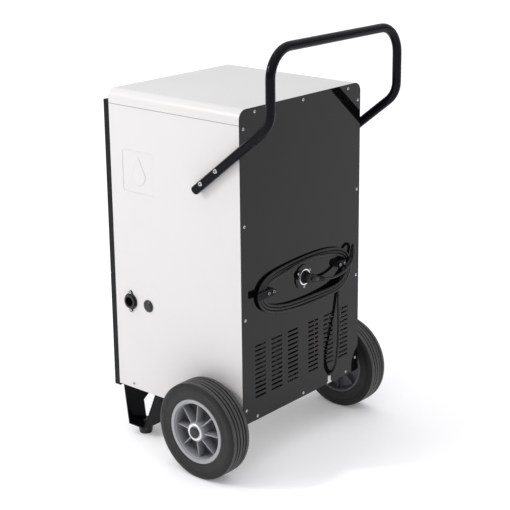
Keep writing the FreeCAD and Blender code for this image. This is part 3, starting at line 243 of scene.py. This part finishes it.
WHITE = (0.655, 0.645, 0.632)
PAINT = {
    "casing_white": powder_coat("white_powder", WHITE, 0.36, peel=0.07, vary=0.02,
                                seam=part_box("casing_side_right")[1].z),
    "rear_charcoal": powder_coat("charcoal_lacquer", (0.0035, 0.0035, 0.0036), 0.055, peel=0.006,
                                 vary=0.25, ior=1.35, bevel=0.0),
    "galvanised": metal("galvanised_sheet", (0.52, 0.53, 0.54), 0.45, scale=60.0),
    "zinc_screw": metal("zinc_plate", (0.50, 0.50, 0.51), 0.20),
    "gloss_black": powder_coat("gloss_black_paint", (0.0030, 0.0030, 0.0042), 0.10, peel=0.012,
                               vary=0.2, ior=1.20, bevel=0.0),
    "bolt_steel": metal("dark_steel", (0.27, 0.27, 0.275), 0.20),
    "panel_black": powder_coat("black_powder", (0.007, 0.007, 0.008), 0.30, peel=0.10, vary=0.2,
                               ior=1.4),
    "black_moulding": moulded("black_plastic", (0.009, 0.009, 0.010), 0.34, grain=0.14),
    "bright_ring": metal("bright_plate", (0.80, 0.80, 0.82), 0.40, grain=0.04),
    "cord_rubber": moulded("cord_rubber", (0.008, 0.008, 0.0085), 0.42, grain=0.2, scale=500.0,
                           ior=1.42),
    "pin_metal": metal("nickel", (0.75, 0.73, 0.68), 0.18),
    # the second colour is the painted shade in the rim's pockets
    "rim_grey": rim_paint("rim_plastic", (0.315, 0.320, 0.332), (0.080, 0.082, 0.088)),
    # the last colour is painted shade for the tread's grooves
    "tyre_rubber": tyre_paint("tyre_rubber", (0.009, 0.0092, 0.009), (0.050, 0.050, 0.049),
                              (0.003, 0.003, 0.003)),
    "display_glass": moulded("smoked_window", (0.012, 0.018, 0.018), 0.08, grain=0.0),
    "lamp_green": moulded("lamp_lens", (0.12, 0.34, 0.16), 0.2, grain=0.02),
    "button_grey": moulded("soft_key", (0.16, 0.165, 0.18), 0.55),
    "filter_net": moulded("net", (0.035, 0.035, 0.038), 0.6),
    "tank_plastic": moulded("tank_plastic", (0.58, 0.60, 0.62), 0.4, grain=0.1),
    "float_white": moulded("float_foam", (0.72, 0.72, 0.70), 0.8, grain=0.5, scale=250.0),
    "compressor_black": powder_coat("enamel", (0.012, 0.012, 0.013), 0.3),
    "copper": metal("copper", (0.50, 0.30, 0.22), 0.35),
    "coil_fins": metal("fin_block", (0.55, 0.56, 0.57), 0.35),
}
for part in frame["record"]["subparts"]:
    mesh = nodes[part["node"]].data
    mesh.materials.clear()
    mesh.materials.append(PAINT[part["material_slot"]])
nodes["plug_holder"].data.materials[0] = PAINT["rear_charcoal"]
FRONT_BLACK = moulded("front_black", (0.005, 0.005, 0.006), 0.36, grain=0.14, ior=1.24)
for name in ("upper_front_panel", "filter_frame", "tank_front_panel"):
    nodes[name].data.materials[0] = FRONT_BLACK

# ---------------------------------------------------------------- mains cord

CORD_D, NOTCH_X, NOTCH_RISE = 7.0, -107.0, 27.0
PLUG_TILT, PLUG_REACH, PLUG_OUT = math.radians(17), 62.0, 16
# The outermost turn round the hooks as an outline of (across, up) points, from the left end's
# outer side over the top, round the right end and back along the bottom.
CORD_LOOP = ((-174.3, 323.5), (-154, 346), (-121, 357),
             (-80, 363.5), (-26, 365.3), (28, 363.8), (78, 360.5),
             (120, 355.5), (151.5, 345.5), (172.5, 325), (173, 296), (155, 273), (124, 259),
             (80, 248.5), (25, 243), (-30, 241.5), (-82, 245.5),
             (-122, 256), (-152, 271.5), (-171.8, 294))
LOOP_OUT = (5.8, 5.8, 5.4, 4.1, 4.1, 4.1, 4.1, 5, 6, 6, 6, 6, 5, 4.6, 4.2, 5, 8.6, 12.4, 12.6, 8.4)
TOP_OF_FIRST = ((14.8, 7.2), (12, 11.2), (6.2, 11.6), (6.2, 11.6), (12, 11.2), (14.8, 7.2))
TURN_STEP = 7.4                                        # one turn lies this far inside the next


def at_panel(x, z, out):
    """A cord point in metres: across and up the rear panel, and out from it, in millimetres."""
    return (x * MM, REAR + out * MM, FLOOR_GAP + z * MM)


def inside_loop(k, step):
    """Corner k of the outline, with its two sides moved inward by a step."""
    here = Vector(CORD_LOOP[k])
    back = here - Vector(CORD_LOOP[k - 1])
    on = Vector(CORD_LOOP[(k + 1) % len(CORD_LOOP)]) - here
    one, two = (Vector((v.y, -v.x)).normalized() for v in (back, on))
    return here + (one + two) * (step / (1 + one.dot(two)))


def cord_route():
    """Housing, up to the left hook, three turns round both hooks, hairpin, plug."""
    points = [(-107.8, 36, 13), (-110.5, 58, 18.5), (-116, 93, 18.5), (-124, 133, 14.8),
              (-131, 174, 9.8), (-134.5, 213, 5.4), (-137, 246, 4.1), (-142.5, 271, 4.1),
              (-152.5, 294, 4.6)]
    for turn in range(3):
        for k, out in enumerate(LOOP_OUT):
            step = TURN_STEP * (2 - turn)
            if turn == 0 and 2 <= k <= 7:              # the first turn's top lies on the others
                step, out = TOP_OF_FIRST[k - 2]
            if turn < 2 and k in (14, 15):             # the bottoms sag apart a little
                step += (1.6, 1.2)[turn] * (1.0, 1.6)[k - 14]
            if k >= 17:                                # and climb out to the next turn's place
                step -= TURN_STEP
            points.append((*inside_loop(k, step), out))
    points += [(-181.5, 313, 6), (-187, 328.5, 5.6), (-191.5, 345, 5), (-189, 351.5, 11),
               (-182, 345.5, 16.4), (-177, 331, 20.6), (-168.5, 315, 22.6), (-149, 302, 22.2),
               (-127, 294.5, 21.4), (-104, 291, 19.6), (-81.5, 291.6, 17.6)]
    box_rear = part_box("electrics_box")[1].y
    inside = [(NOTCH_X * MM, y, z * MM) for y, z in ((box_rear, 186), (0.084, 186),
                                                     (0.112, 172), (0.136, 158.2))]
    inside.append(at_panel(NOTCH_X, NOTCH_RISE, 1.5))
    plug_end = (-PLUG_REACH * math.cos(PLUG_TILT) * MM, REAR + PLUG_OUT * MM,
                HOOK_Z - PLUG_REACH * math.sin(PLUG_TILT) * MM)
    return inside + [at_panel(*p) for p in points] + [plug_end]


def nurbs(name, points, bevel, material, resolution=8):
    data = bpy.data.curves.new(name, "CURVE")
    data.dimensions = "3D"
    spline = data.splines.new("NURBS")
    spline.points.add(len(points) - 1)
    for point, at in zip(spline.points, points):
        point.co = (*at, 1)
    spline.order_u, spline.use_endpoint_u = 3, True
    spline.resolution_u = resolution
    data.bevel_depth, data.bevel_resolution = bevel, 5
    data.use_fill_caps = True
    data.materials.append(material)
    made = bpy.data.objects.new(name, data)
    scene.collection.objects.link(made)
    return made


route = cord_route()
cord = nurbs("mains_lead", route, CORD_D / 2 * MM, PAINT["cord_rubber"])
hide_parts("mains_cord")
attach(cord, "chassis")

# ---------------------------------------------------------------- mesh kit

AXES = {"x": (Vector((1, 0, 0)), Vector((0, 1, 0)), Vector((0, 0, 1))),
        "-x": (Vector((-1, 0, 0)), Vector((0, -1, 0)), Vector((0, 0, 1))),
        "y": (Vector((0, 1, 0)), Vector((-1, 0, 0)), Vector((0, 0, 1))),
        "-y": (Vector((0, -1, 0)), Vector((1, 0, 0)), Vector((0, 0, 1)))}


def eased(points, radii, steps=4, closed=False):
    """A profile with each of its corners rounded off by its own radius."""
    made, count = [], len(points)
    for k, (point, radius) in enumerate(zip(points, radii)):
        if radius <= 0 or (not closed and k in (0, count - 1)):
            made.append(point)
            continue
        here = Vector(point)
        back, on = Vector(points[k - 1]) - here, Vector(points[(k + 1) % count]) - here
        half = back.angle(on) / 2
        cut = min(radius / math.tan(half), 0.45 * min(back.length, on.length))
        first, last = here + back.normalized() * cut, here + on.normalized() * cut
        for s in range(steps + 1):
            t = s / steps
            made.append(tuple(first * (1 - t) ** 2 + here * 2 * t * (1 - t) + last * t * t))
    return made


def lathe(bm, profile, at, axis, segments=96, closed=True):
    """Turns an (along, radius) profile in millimetres about an axis through a point in metres."""
    along, u, v = axis if isinstance(axis, tuple) else AXES[axis]
    rings = []
    for a, r in profile:
        ring = []
        for k in range(segments):
            turn = 2 * math.pi * k / segments
            ring.append(bm.verts.new(Vector(at) + along * (a * MM)
                                     + (u * math.cos(turn) + v * math.sin(turn)) * (r * MM)))
        rings.append(ring)
    pairs = list(zip(rings, rings[1:])) + ([(rings[-1], rings[0])] if closed else [])
    for one, two in pairs:
        for k in range(segments):
            n = (k + 1) % segments
            bm.faces.new((one[k], one[n], two[n], two[k]))


def block(bm, corners_low, corners_high):
    """A solid between two loops of the same number of points, in metres."""
    low = [bm.verts.new(p) for p in corners_low]
    high = [bm.verts.new(p) for p in corners_high]
    bm.faces.new(reversed(low))
    bm.faces.new(high)
    for k in range(len(low)):
        n = (k + 1) % len(low)
        bm.faces.new((low[k], low[n], high[n], high[k]))


def piece(name, bm, material, body, slot, *replaced, crease=38):
    """Closes a mesh off as a piece riding on a CAD body."""
    bmesh.ops.remove_doubles(bm, verts=bm.verts, dist=1e-6)
    bmesh.ops.dissolve_degenerate(bm, edges=bm.edges, dist=1e-7)
    bmesh.ops.recalc_face_normals(bm, faces=bm.faces)
    mesh = bpy.data.meshes.new(name)
    bm.to_mesh(mesh)
    bm.free()
    mesh.shade_smooth()
    mesh.set_sharp_from_angle(angle=math.radians(crease))
    mesh.materials.append(material)
    made = bpy.data.objects.new(name, mesh)
    scene.collection.objects.link(made)
    if replaced:
        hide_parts(*replaced)
    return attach(made, body)


def cross_recess(turn, reach):
    """How deep a cross-head recess is, 0 to 1, at a polar place on the head."""
    u, v = reach * math.cos(turn), reach * math.sin(turn)
    arm = max((1 - min(1, abs(v) / 0.20)) * (1 - min(1, max(0, abs(u) - 0.42) / 0.2)),
              (1 - min(1, abs(u) / 0.20)) * (1 - min(1, max(0, abs(v) - 0.42) / 0.2)))
    return min(1.0, arm * 1.8)


RECESS = 0.85                                          # of the head's height


def pan_head(bm, at, axis, radius, height, twist):
    """A cross-recessed pan head seated at a point."""
    along, u, v = AXES[axis]
    segments, rings = 48, 16
    last = None
    for k in range(rings + 1):
        reach = k / rings
        ring = []
        for s in range(segments):
            turn = 2 * math.pi * s / segments
            dome = height * (1 - 0.45 * reach ** 4 - 0.10 * reach ** 2)
            dome -= height * RECESS * cross_recess(turn, reach)
            way = u * math.cos(turn + twist) + v * math.sin(turn + twist)
            ring.append(bm.verts.new(Vector(at) + along * (dome * MM)
                                     + way * (radius * (0.985 * reach) * MM)))
        if last:
            for s in range(segments):
                n = (s + 1) % segments
                bm.faces.new((last[s], last[n], ring[n], ring[s]))
        last = ring
    lathe(bm, [(height * 0.45, radius * 0.985), (height * 0.30, radius), (0, radius * 0.98)],
          at, axis, segments, closed=False)
    lathe(bm, [(0.05, radius * 0.98), (0.05, radius * 0.45), (-5, radius * 0.45)], at, axis, 24,
          closed=False)


def socket_head(bm, at, axis, radius, height, socket, twist):
    """A button head with a hexagon socket."""
    along, u, v = AXES[axis]
    segments = 48

    def loop(size, hexed, level):
        ring = []
        for s in range(segments):
            turn = 2 * math.pi * s / segments
            fold = (turn % (math.pi / 3)) - math.pi / 6
            reach = size * (math.cos(math.pi / 6) / math.cos(fold) if hexed else 1)
            way = u * math.cos(turn + twist) + v * math.sin(turn + twist)
            ring.append(bm.verts.new(Vector(at) + along * (level * MM) + way * (reach * MM)))
        return ring

    loops = [loop(0.02, True, height * 0.08), loop(socket * 0.98, True, height * 0.12),
             loop(socket, True, height * 0.93), loop(socket * 1.08, True, height),
             loop((socket + radius) * 0.52, False, height * 0.985),
             loop(radius * 0.80, False, height * 0.80), loop(radius * 0.93, False, height * 0.52),
             loop(radius, False, height * 0.18), loop(radius * 0.98, False, 0.0)]
    for one, two in zip(loops, loops[1:]):
        for s in range(segments):
            n = (s + 1) % segments
            bm.faces.new((one[s], one[n], two[n], two[s]))
    bm.faces.new(reversed(loops[0]))


def islands(node):
    """The separate solids of a CAD node, each as (lowest corner, highest corner) in metres."""
    bm = bmesh.new()
    bm.from_mesh(nodes[node].data)
    bmesh.ops.remove_doubles(bm, verts=bm.verts, dist=1e-6)
    bm.verts.ensure_lookup_table()
    seen, boxes = set(), []
    for vert in bm.verts:
        if vert.index in seen:
            continue
        stack, found = [vert], []
        seen.add(vert.index)
        while stack:
            here = stack.pop()
            found.append(here.co.copy())
            for edge in here.link_edges:
                other = edge.other_vert(here)
                if other.index not in seen:
                    seen.add(other.index)
                    stack.append(other)
        boxes.append((Vector(min(c[i] for c in found) for i in range(3)),
                      Vector(max(c[i] for c in found) for i in range(3))))
    bm.free()
    return boxes


# ---------------------------------------------------------------- screws and bolts


def outward(low, high):
    """Screws of the side walls point along X, those through the front pan lip along -Y."""
    size = high - low
    if size.x > size.y:
        return "x" if low.x > 0 else "-x"
    return "y" if high.y > 0 else "-y"


def screw_heads(name, node, paint, radius, height, socket=0.0):
    """A detailed head in place of each CAD screw of a node, cross-recessed unless socketed."""
    bm = bmesh.new()
    for k, (low, high) in enumerate(islands(node)):
        axis = outward(low, high)
        along = AXES[axis][0]
        tip = Vector([(h if a > 0.5 else l if a < -0.5 else (l + h) / 2)
                      for l, h, a in zip(low, high, along)])
        seat = tip - along * (height * MM)
        if socket:
            socket_head(bm, seat, axis, radius, height, socket, twist=0.4 + 0.8 * k)
        else:
            pan_head(bm, seat, axis, radius, height, twist=0.7 + 1.9 * k)
    return piece(name, bm, PAINT[paint], "chassis", "zinc_screw", node)


screw_heads("rear_screw_heads", "rear_panel_screws", "zinc_screw", 3.9, 2.2)
screw_heads("side_screw_heads", "side_screws", "zinc_screw", 4.0, 2.0)
screw_heads("hook_screw_heads", "hook_screws", "bolt_steel", 4.0, 2.6, socket=2.7)
screw_heads("holder_screw_heads", "plug_holder_screws", "zinc_screw", 3.2, 2.0)

BOLT_HEAD = 3.6                                        # height of a handle bolt's head

bm = bmesh.new()
for k, (low, high) in enumerate(islands("handle_screws")):
    axis, face = ("x", high.x) if low.x > 0 else ("-x", low.x)
    way = AXES[axis][0].x
    centre = (low + high) / 2
    seat = Vector((face - way * BOLT_HEAD * MM, centre.y, centre.z))
    socket_head(bm, seat, axis, 5.4, BOLT_HEAD, 3.2, twist=0.4 + 0.8 * k)
    lathe(bm, [(0.1, 5.2), (0.1, 3.0), (-33, 3.0), (-33, 5.6), (-38, 5.6)], seat, axis, 24,
          closed=False)
piece("arm_bolts", bm, PAINT["zinc_screw"], "chassis", "bolt_steel", "handle_screws")

# ---------------------------------------------------------------- wheels


def tyre_profile(inner, outer):
    """Half the tyre outward from its middle, mirrored: bead, ringed sidewall, grooved tread."""
    half, mid = (outer - inner) / 2, (inner + outer) / 2
    side = [(half - 4, 80.2), (half - 2.4, 81.0), (half - 1.7, 82.6)]
    for k in range(22):                              # fine rings above the bead
        side.append((half - 1.6 + 0.05 * k + (0.42 if k % 3 == 1 else 0.0), 84 + k * 0.75))
    side += [(half - 0.2, 101.5), (half, 104), (half - 0.3, 108), (half - 0.9, 112.2),
             (half - 1.9, 115.4), (half - 2.4, 116.1), (half - 3.6, 118.4), (half - 5.0, 119.2)]
    tread, edge = [], half - 7.9
    for _ in range(2):                               # two grooves each side of the middle rib
        near, far = edge - 6.2, edge - 9.6
        tread += eased([(edge - 0.1, 119.5), (near, 119.95), (near - 0.35, 116.4),
                        (far + 0.35, 116.4), (far, 119.95), (far - 1, 120)],
                       (0, 0.5, 0.5, 0.5, 0.5, 0), 3)
        edge = far
    outer_half = side + tread
    return [(mid + a, r) for a, r in outer_half] + [(mid - a, r) for a, r in reversed(outer_half)]


WEB_IN, WEB_OUT = 21, 27                               # the rim's web, out from its inner face
RIBS = 8


def rim_profile(inner, outer):
    """Closed outline of the rim: hub, dished web and the ring that the tyre sits on."""
    web_in, web_out, hub_in, hub_out = inner + WEB_IN, inner + WEB_OUT, inner + 1, outer + 0.2
    loop = [(hub_in, 10.1), (hub_out, 10.1), (hub_out, 23.4), (web_out + 14, 24.4),
            (web_out + 1, 26.5), (web_out, 65), (outer - 12, 68.2), (outer - 6.2, 68.8),
            (outer - 6.0, 70.4), (outer - 1.7, 71.0), (outer - 1.2, 79.4), (outer - 3.9, 79.95),
            (inner + 3.9, 79.95), (inner + 1.4, 79.2), (inner + 1.8, 73.4), (web_in, 69),
            (web_in - 1, 23), (hub_in, 19)]
    soft = (0, 0.8, 1.0, 6, 5, 7, 3, 0.2, 0.3, 1.6, 2.4, 0.5, 0.5, 2.2, 2.2, 7, 5, 1)
    return eased(loop, soft, 5, closed=True)


def add_ribs(bm, at, axis, inner, outer):
    """Tapered ribs from the hub to the ring, on both faces of the web."""
    along, u, v = AXES[axis]
    both = ((inner + WEB_OUT - 2, ((outer - 4.2, 22), (outer - 11, 69.5))),
            (inner + WEB_IN + 2, ((inner + 8, 17), (inner + 8, 73.2))))
    for k in range(RIBS):
        turn = 2 * math.pi * k / RIBS
        way = u * math.cos(turn) + v * math.sin(turn)
        across = u * -math.sin(turn) + v * math.cos(turn)
        for base, ends in both:
            loops = []
            for level, thick in ((0.0, 2.3), (0.86, 1.75), (0.97, 1.4), (1.0, 0.7)):
                near, far = ([Vector(at) + along * ((base + (top - base) * level) * MM)
                              + way * (r * MM) + across * (thick * s * MM) for s in (1, -1)]
                             for top, r in ends)
                loops.append([bm.verts.new(p) for p in (near[0], near[1], far[1], far[0])])
            for one, two in zip(loops, loops[1:]):
                for s in range(4):
                    n = (s + 1) % 4
                    bm.faces.new((one[s], one[n], two[n], two[s]))
            bm.faces.new(loops[0])
            bm.faces.new(loops[-1])


def make_wheel(side, axis):
    low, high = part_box("tyre_" + side)
    inner, outer = sorted((abs(low.x) / MM, abs(high.x) / MM))
    at = (0, AXLE_Y, AXLE_Z)
    bm = bmesh.new()
    lathe(bm, tyre_profile(inner, outer), at, axis, 160)
    piece("tyre_moulding_" + side, bm, PAINT["tyre_rubber"], "wheel_" + side, "tyre_rubber",
          "tyre_" + side, crease=32)
    bm = bmesh.new()
    lathe(bm, rim_profile(inner, outer), at, axis, 128)
    add_ribs(bm, at, axis, inner, outer)
    piece("rim_moulding_" + side, bm, PAINT["rim_grey"], "wheel_" + side, "rim_grey",
          "wheel_rim_" + side, crease=30)


make_wheel("right", "x")
make_wheel("left", "-x")

bm = bmesh.new()
for low, high in islands("axle_washers"):
    radius = (high.z - low.z) / 2 / MM
    way = "x" if high.x > 0 else "-x"
    near = min(abs(low.x), abs(high.x))
    dish = [(0, 10.1), (1.1, 10.1), (1.6, 13.0), (0.9, 15.2), (1.9, radius - 3.2),
            (1.6, radius - 1.2), (0.5, radius), (0, radius)]
    lathe(bm, eased(dish, (0, 0.3, 0.8, 0.8, 1.4, 1.0, 0.4, 0), 5, closed=True),
          (AXES[way][0].x * near, AXLE_Y, AXLE_Z), way, 80)
piece("hub_washers", bm, PAINT["bright_ring"], "chassis", "zinc_screw", "axle_washers")

bm = bmesh.new()
for low, high in islands("axle_caps"):
    way = "x" if high.x > 0 else "-x"
    near = min(abs(low.x), abs(high.x))
    cap = [(0, 0.01), (0, 14.4), (1.2, 14.4), (2.3, 13.4), (2.9, 10.6), (2.5, 9.8), (3.25, 7.4),
           (3.25, 0.01)]
    lathe(bm, eased(cap, (0, 0, 0.8, 1.2, 0.6, 0.5, 0.8, 0), 4),
          (AXES[way][0].x * near, AXLE_Y, AXLE_Z), way, 64, closed=False)
piece("hub_caps", bm, PAINT["black_moulding"], "chassis", "black_moulding", "axle_caps")

# ---------------------------------------------------------------- plug and strain relief


def plug_axis():
    along = Vector((-math.cos(PLUG_TILT), 0, -math.sin(PLUG_TILT)))
    u = Vector((0, 1, 0))
    return along, u, along.cross(u)


bm = bmesh.new()
body_loop = [(-6, 0.01), (-6, 15.6), (7.5, 15.6), (10.5, 14.2), (20.5, 11.6), (23, 8.6),
             (23, 0.01)]
lathe(bm, eased(body_loop, (0, 0.8, 1.2, 1.2, 3.0, 2.0, 0), 5), (0, REAR, HOOK_Z), "y", 72,
      closed=False)
neck = [(4, 0.01), (4, 10.4), (22, 9.6), (35, 7.6)]
for k in range(6):                                     # strain relief rings, narrowing outward
    start, wide = 35.6 + k * 4.6, 7.5 - k * 0.34
    neck += [(start, wide - 1.5), (start + 0.5, wide), (start + 2.6, wide),
             (start + 3.1, wide - 1.5)]
neck += [(61.6, 4.7), (62, 4.3), (62, 0.01)]
lathe(bm, eased(neck, [0, 2] + [0.5] * (len(neck) - 3) + [0], 2),
      (0, REAR + PLUG_OUT * MM, HOOK_Z), plug_axis(), 40, closed=False)
PLUG_BLACK = moulded("plug_black", (0.005, 0.005, 0.0055), 0.34, grain=0.14, ior=1.29)
plug = piece("plug_moulding", bm, PLUG_BLACK, "chassis", "cord_rubber", "mains_plug")

boot_points = [at_panel(NOTCH_X, NOTCH_RISE, -2.2), at_panel(NOTCH_X, NOTCH_RISE, 1.5),
               at_panel(-107.8, 36, 13), at_panel(-109.4, 50, 16.6)]
boot = nurbs("cord_boot", boot_points, 6.0 * MM, PAINT["black_moulding"], resolution=10)
for point, scale in zip(boot.data.splines[0].points, (1.0, 1.0, 0.84, 0.68)):
    point.radius = scale
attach(boot, "chassis")

# ---------------------------------------------------------------- filter net

bm = bmesh.new()
for low, high in islands("filter_mesh"):
    middle, wire, pitch = (low.y + high.y) / 2, 0.28 * MM, 2.8 * MM
    across, up = int((high.x - low.x) / pitch), int((high.z - low.z) / pitch)
    for k in range(1, across):
        x = low.x + (high.x - low.x) * k / across
        ring = [(x - wire, middle - wire), (x + wire, middle - wire), (x + wire, middle + wire),
                (x - wire, middle + wire)]
        block(bm, [(*p, low.z) for p in ring], [(*p, high.z) for p in ring])
    for k in range(1, up):
        z = low.z + (high.z - low.z) * k / up
        ring = [(middle - 2.4 * wire, z - wire), (middle - 0.4 * wire, z - wire),
                (middle - 0.4 * wire, z + wire), (middle - 2.4 * wire, z + wire)]
        block(bm, [(low.x, *p) for p in ring], [(high.x, *p) for p in ring])
piece("filter_weave", bm, PAINT["filter_net"], "air_filter", "filter_net", "filter_mesh")

# ---------------------------------------------------------------- pictograms on the keys

INK = moulded("key_print", (0.62, 0.63, 0.64), 0.5, grain=0.05)


def stroke(bm, path, wide, y0, y1, centre):
    """A raised line through points given in millimetres across and up a key."""
    for (ax, az), (bx, bz) in zip(path, path[1:]):
        run = Vector((bx - ax, bz - az))
        side = Vector((-run.y, run.x)).normalized() * wide / 2
        ends = [(ax + side.x, az + side.y), (bx + side.x, bz + side.y),
                (bx - side.x, bz - side.y), (ax - side.x, az - side.y)]
        block(bm, [(centre.x + x * MM, y0, centre.z + z * MM) for x, z in ends],
              [(centre.x + x * MM, y1, centre.z + z * MM) for x, z in ends])


def arc(radius, start, end, steps=18):
    turns = [math.radians(start + (end - start) * k / steps) for k in range(steps + 1)]
    return [(radius * math.cos(t), radius * math.sin(t)) for t in turns]


ICONS = {"power": [arc(3.0, 125, 415), [(0, 1.2), (0, 4.2)]],
         "mode": [[(-3.2, 2.2), (3.2, 2.2)], [(-3.2, 0), (1.6, 0)], [(-3.2, -2.2), (0, -2.2)]],
         "up": [[(-2.8, -1.4), (0, 1.8), (2.8, -1.4)]],
         "down": [[(-2.8, 1.4), (0, -1.8), (2.8, 1.4)]]}
for label, lines in ICONS.items():
    low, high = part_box("button_" + label)
    bm = bmesh.new()
    for line in lines:
        stroke(bm, line, 0.8, low.y - 0.14 * MM, low.y + 0.3 * MM, (low + high) / 2)
    piece("print_" + label, bm, INK, "button_" + label, None)

# ---------------------------------------------------------------- light and floor


SKY = 1.40
SKY_LOW, SKY_HIGH = (0.25, 0.252, 0.26, 1), (1.0, 1.0, 1.03, 1)
FLOOR_HALF, FLOOR_GLOW = 40.0, 0.12      # the glow lifts the paper to a photograph's white ground


def softbox(name, at, toward, size, power):
    data = bpy.data.lights.new(name, "AREA")
    data.energy, data.size, data.color = power, size, (1.0, 0.99, 0.975)
    lamp = bpy.data.objects.new(name, data)
    lamp.location = at
    lamp.rotation_euler = (Vector(toward) - Vector(at)).to_track_quat("-Z", "Y").to_euler()
    scene.collection.objects.link(lamp)


def make_floor():
    mesh = bpy.data.meshes.new("floor")
    half = FLOOR_HALF
    mesh.from_pydata([(-half, -half, 0), (half, -half, 0), (half, half, 0), (-half, half, 0)], [],
                     [(0, 1, 2, 3)])
    floor = bpy.data.objects.new("floor", mesh)
    scene.collection.objects.link(floor)
    s = Shade("floor_paper")
    paper = s.mix(s.noise(0.8, 2.0), (0.93, 0.93, 0.93), (0.95, 0.95, 0.95))
    mesh.materials.append(s.set(color=paper, rough=0.9, specular=0.1, glow=FLOOR_GLOW,
                                glow_color=(1.0, 1.0, 1.0)))


def make_sky():
    """A pale studio: dim below the horizon, bright overhead."""
    world = bpy.data.worlds.new("studio")
    world.use_nodes = True
    tree = world.node_tree
    coords = tree.nodes.new("ShaderNodeTexCoord")
    split = tree.nodes.new("ShaderNodeSeparateXYZ")
    ramp = tree.nodes.new("ShaderNodeValToRGB")
    tree.links.new(coords.outputs["Generated"], split.inputs[0])
    tree.links.new(split.outputs["Z"], ramp.inputs[0])
    ramp.color_ramp.elements[0].color = SKY_LOW
    ramp.color_ramp.elements[1].color = SKY_HIGH
    tree.links.new(ramp.outputs[0], tree.nodes["Background"].inputs["Color"])
    tree.nodes["Background"].inputs["Strength"].default_value = SKY
    scene.world = world


make_floor()
make_sky()
softbox("key", (2.4, -1.3, 1.95), (0.1, 0.0, 0.5), 0.6, 12)
softbox("spark", (2.0, -1.45, 2.15), (0.1, 0.0, 0.6), 0.12, 17)
softbox("top_strip", (0.9, -0.6, 3.2), (0.1, 0.1, 0.9), 0.3, 2)
scene.view_settings.view_transform = "Standard"
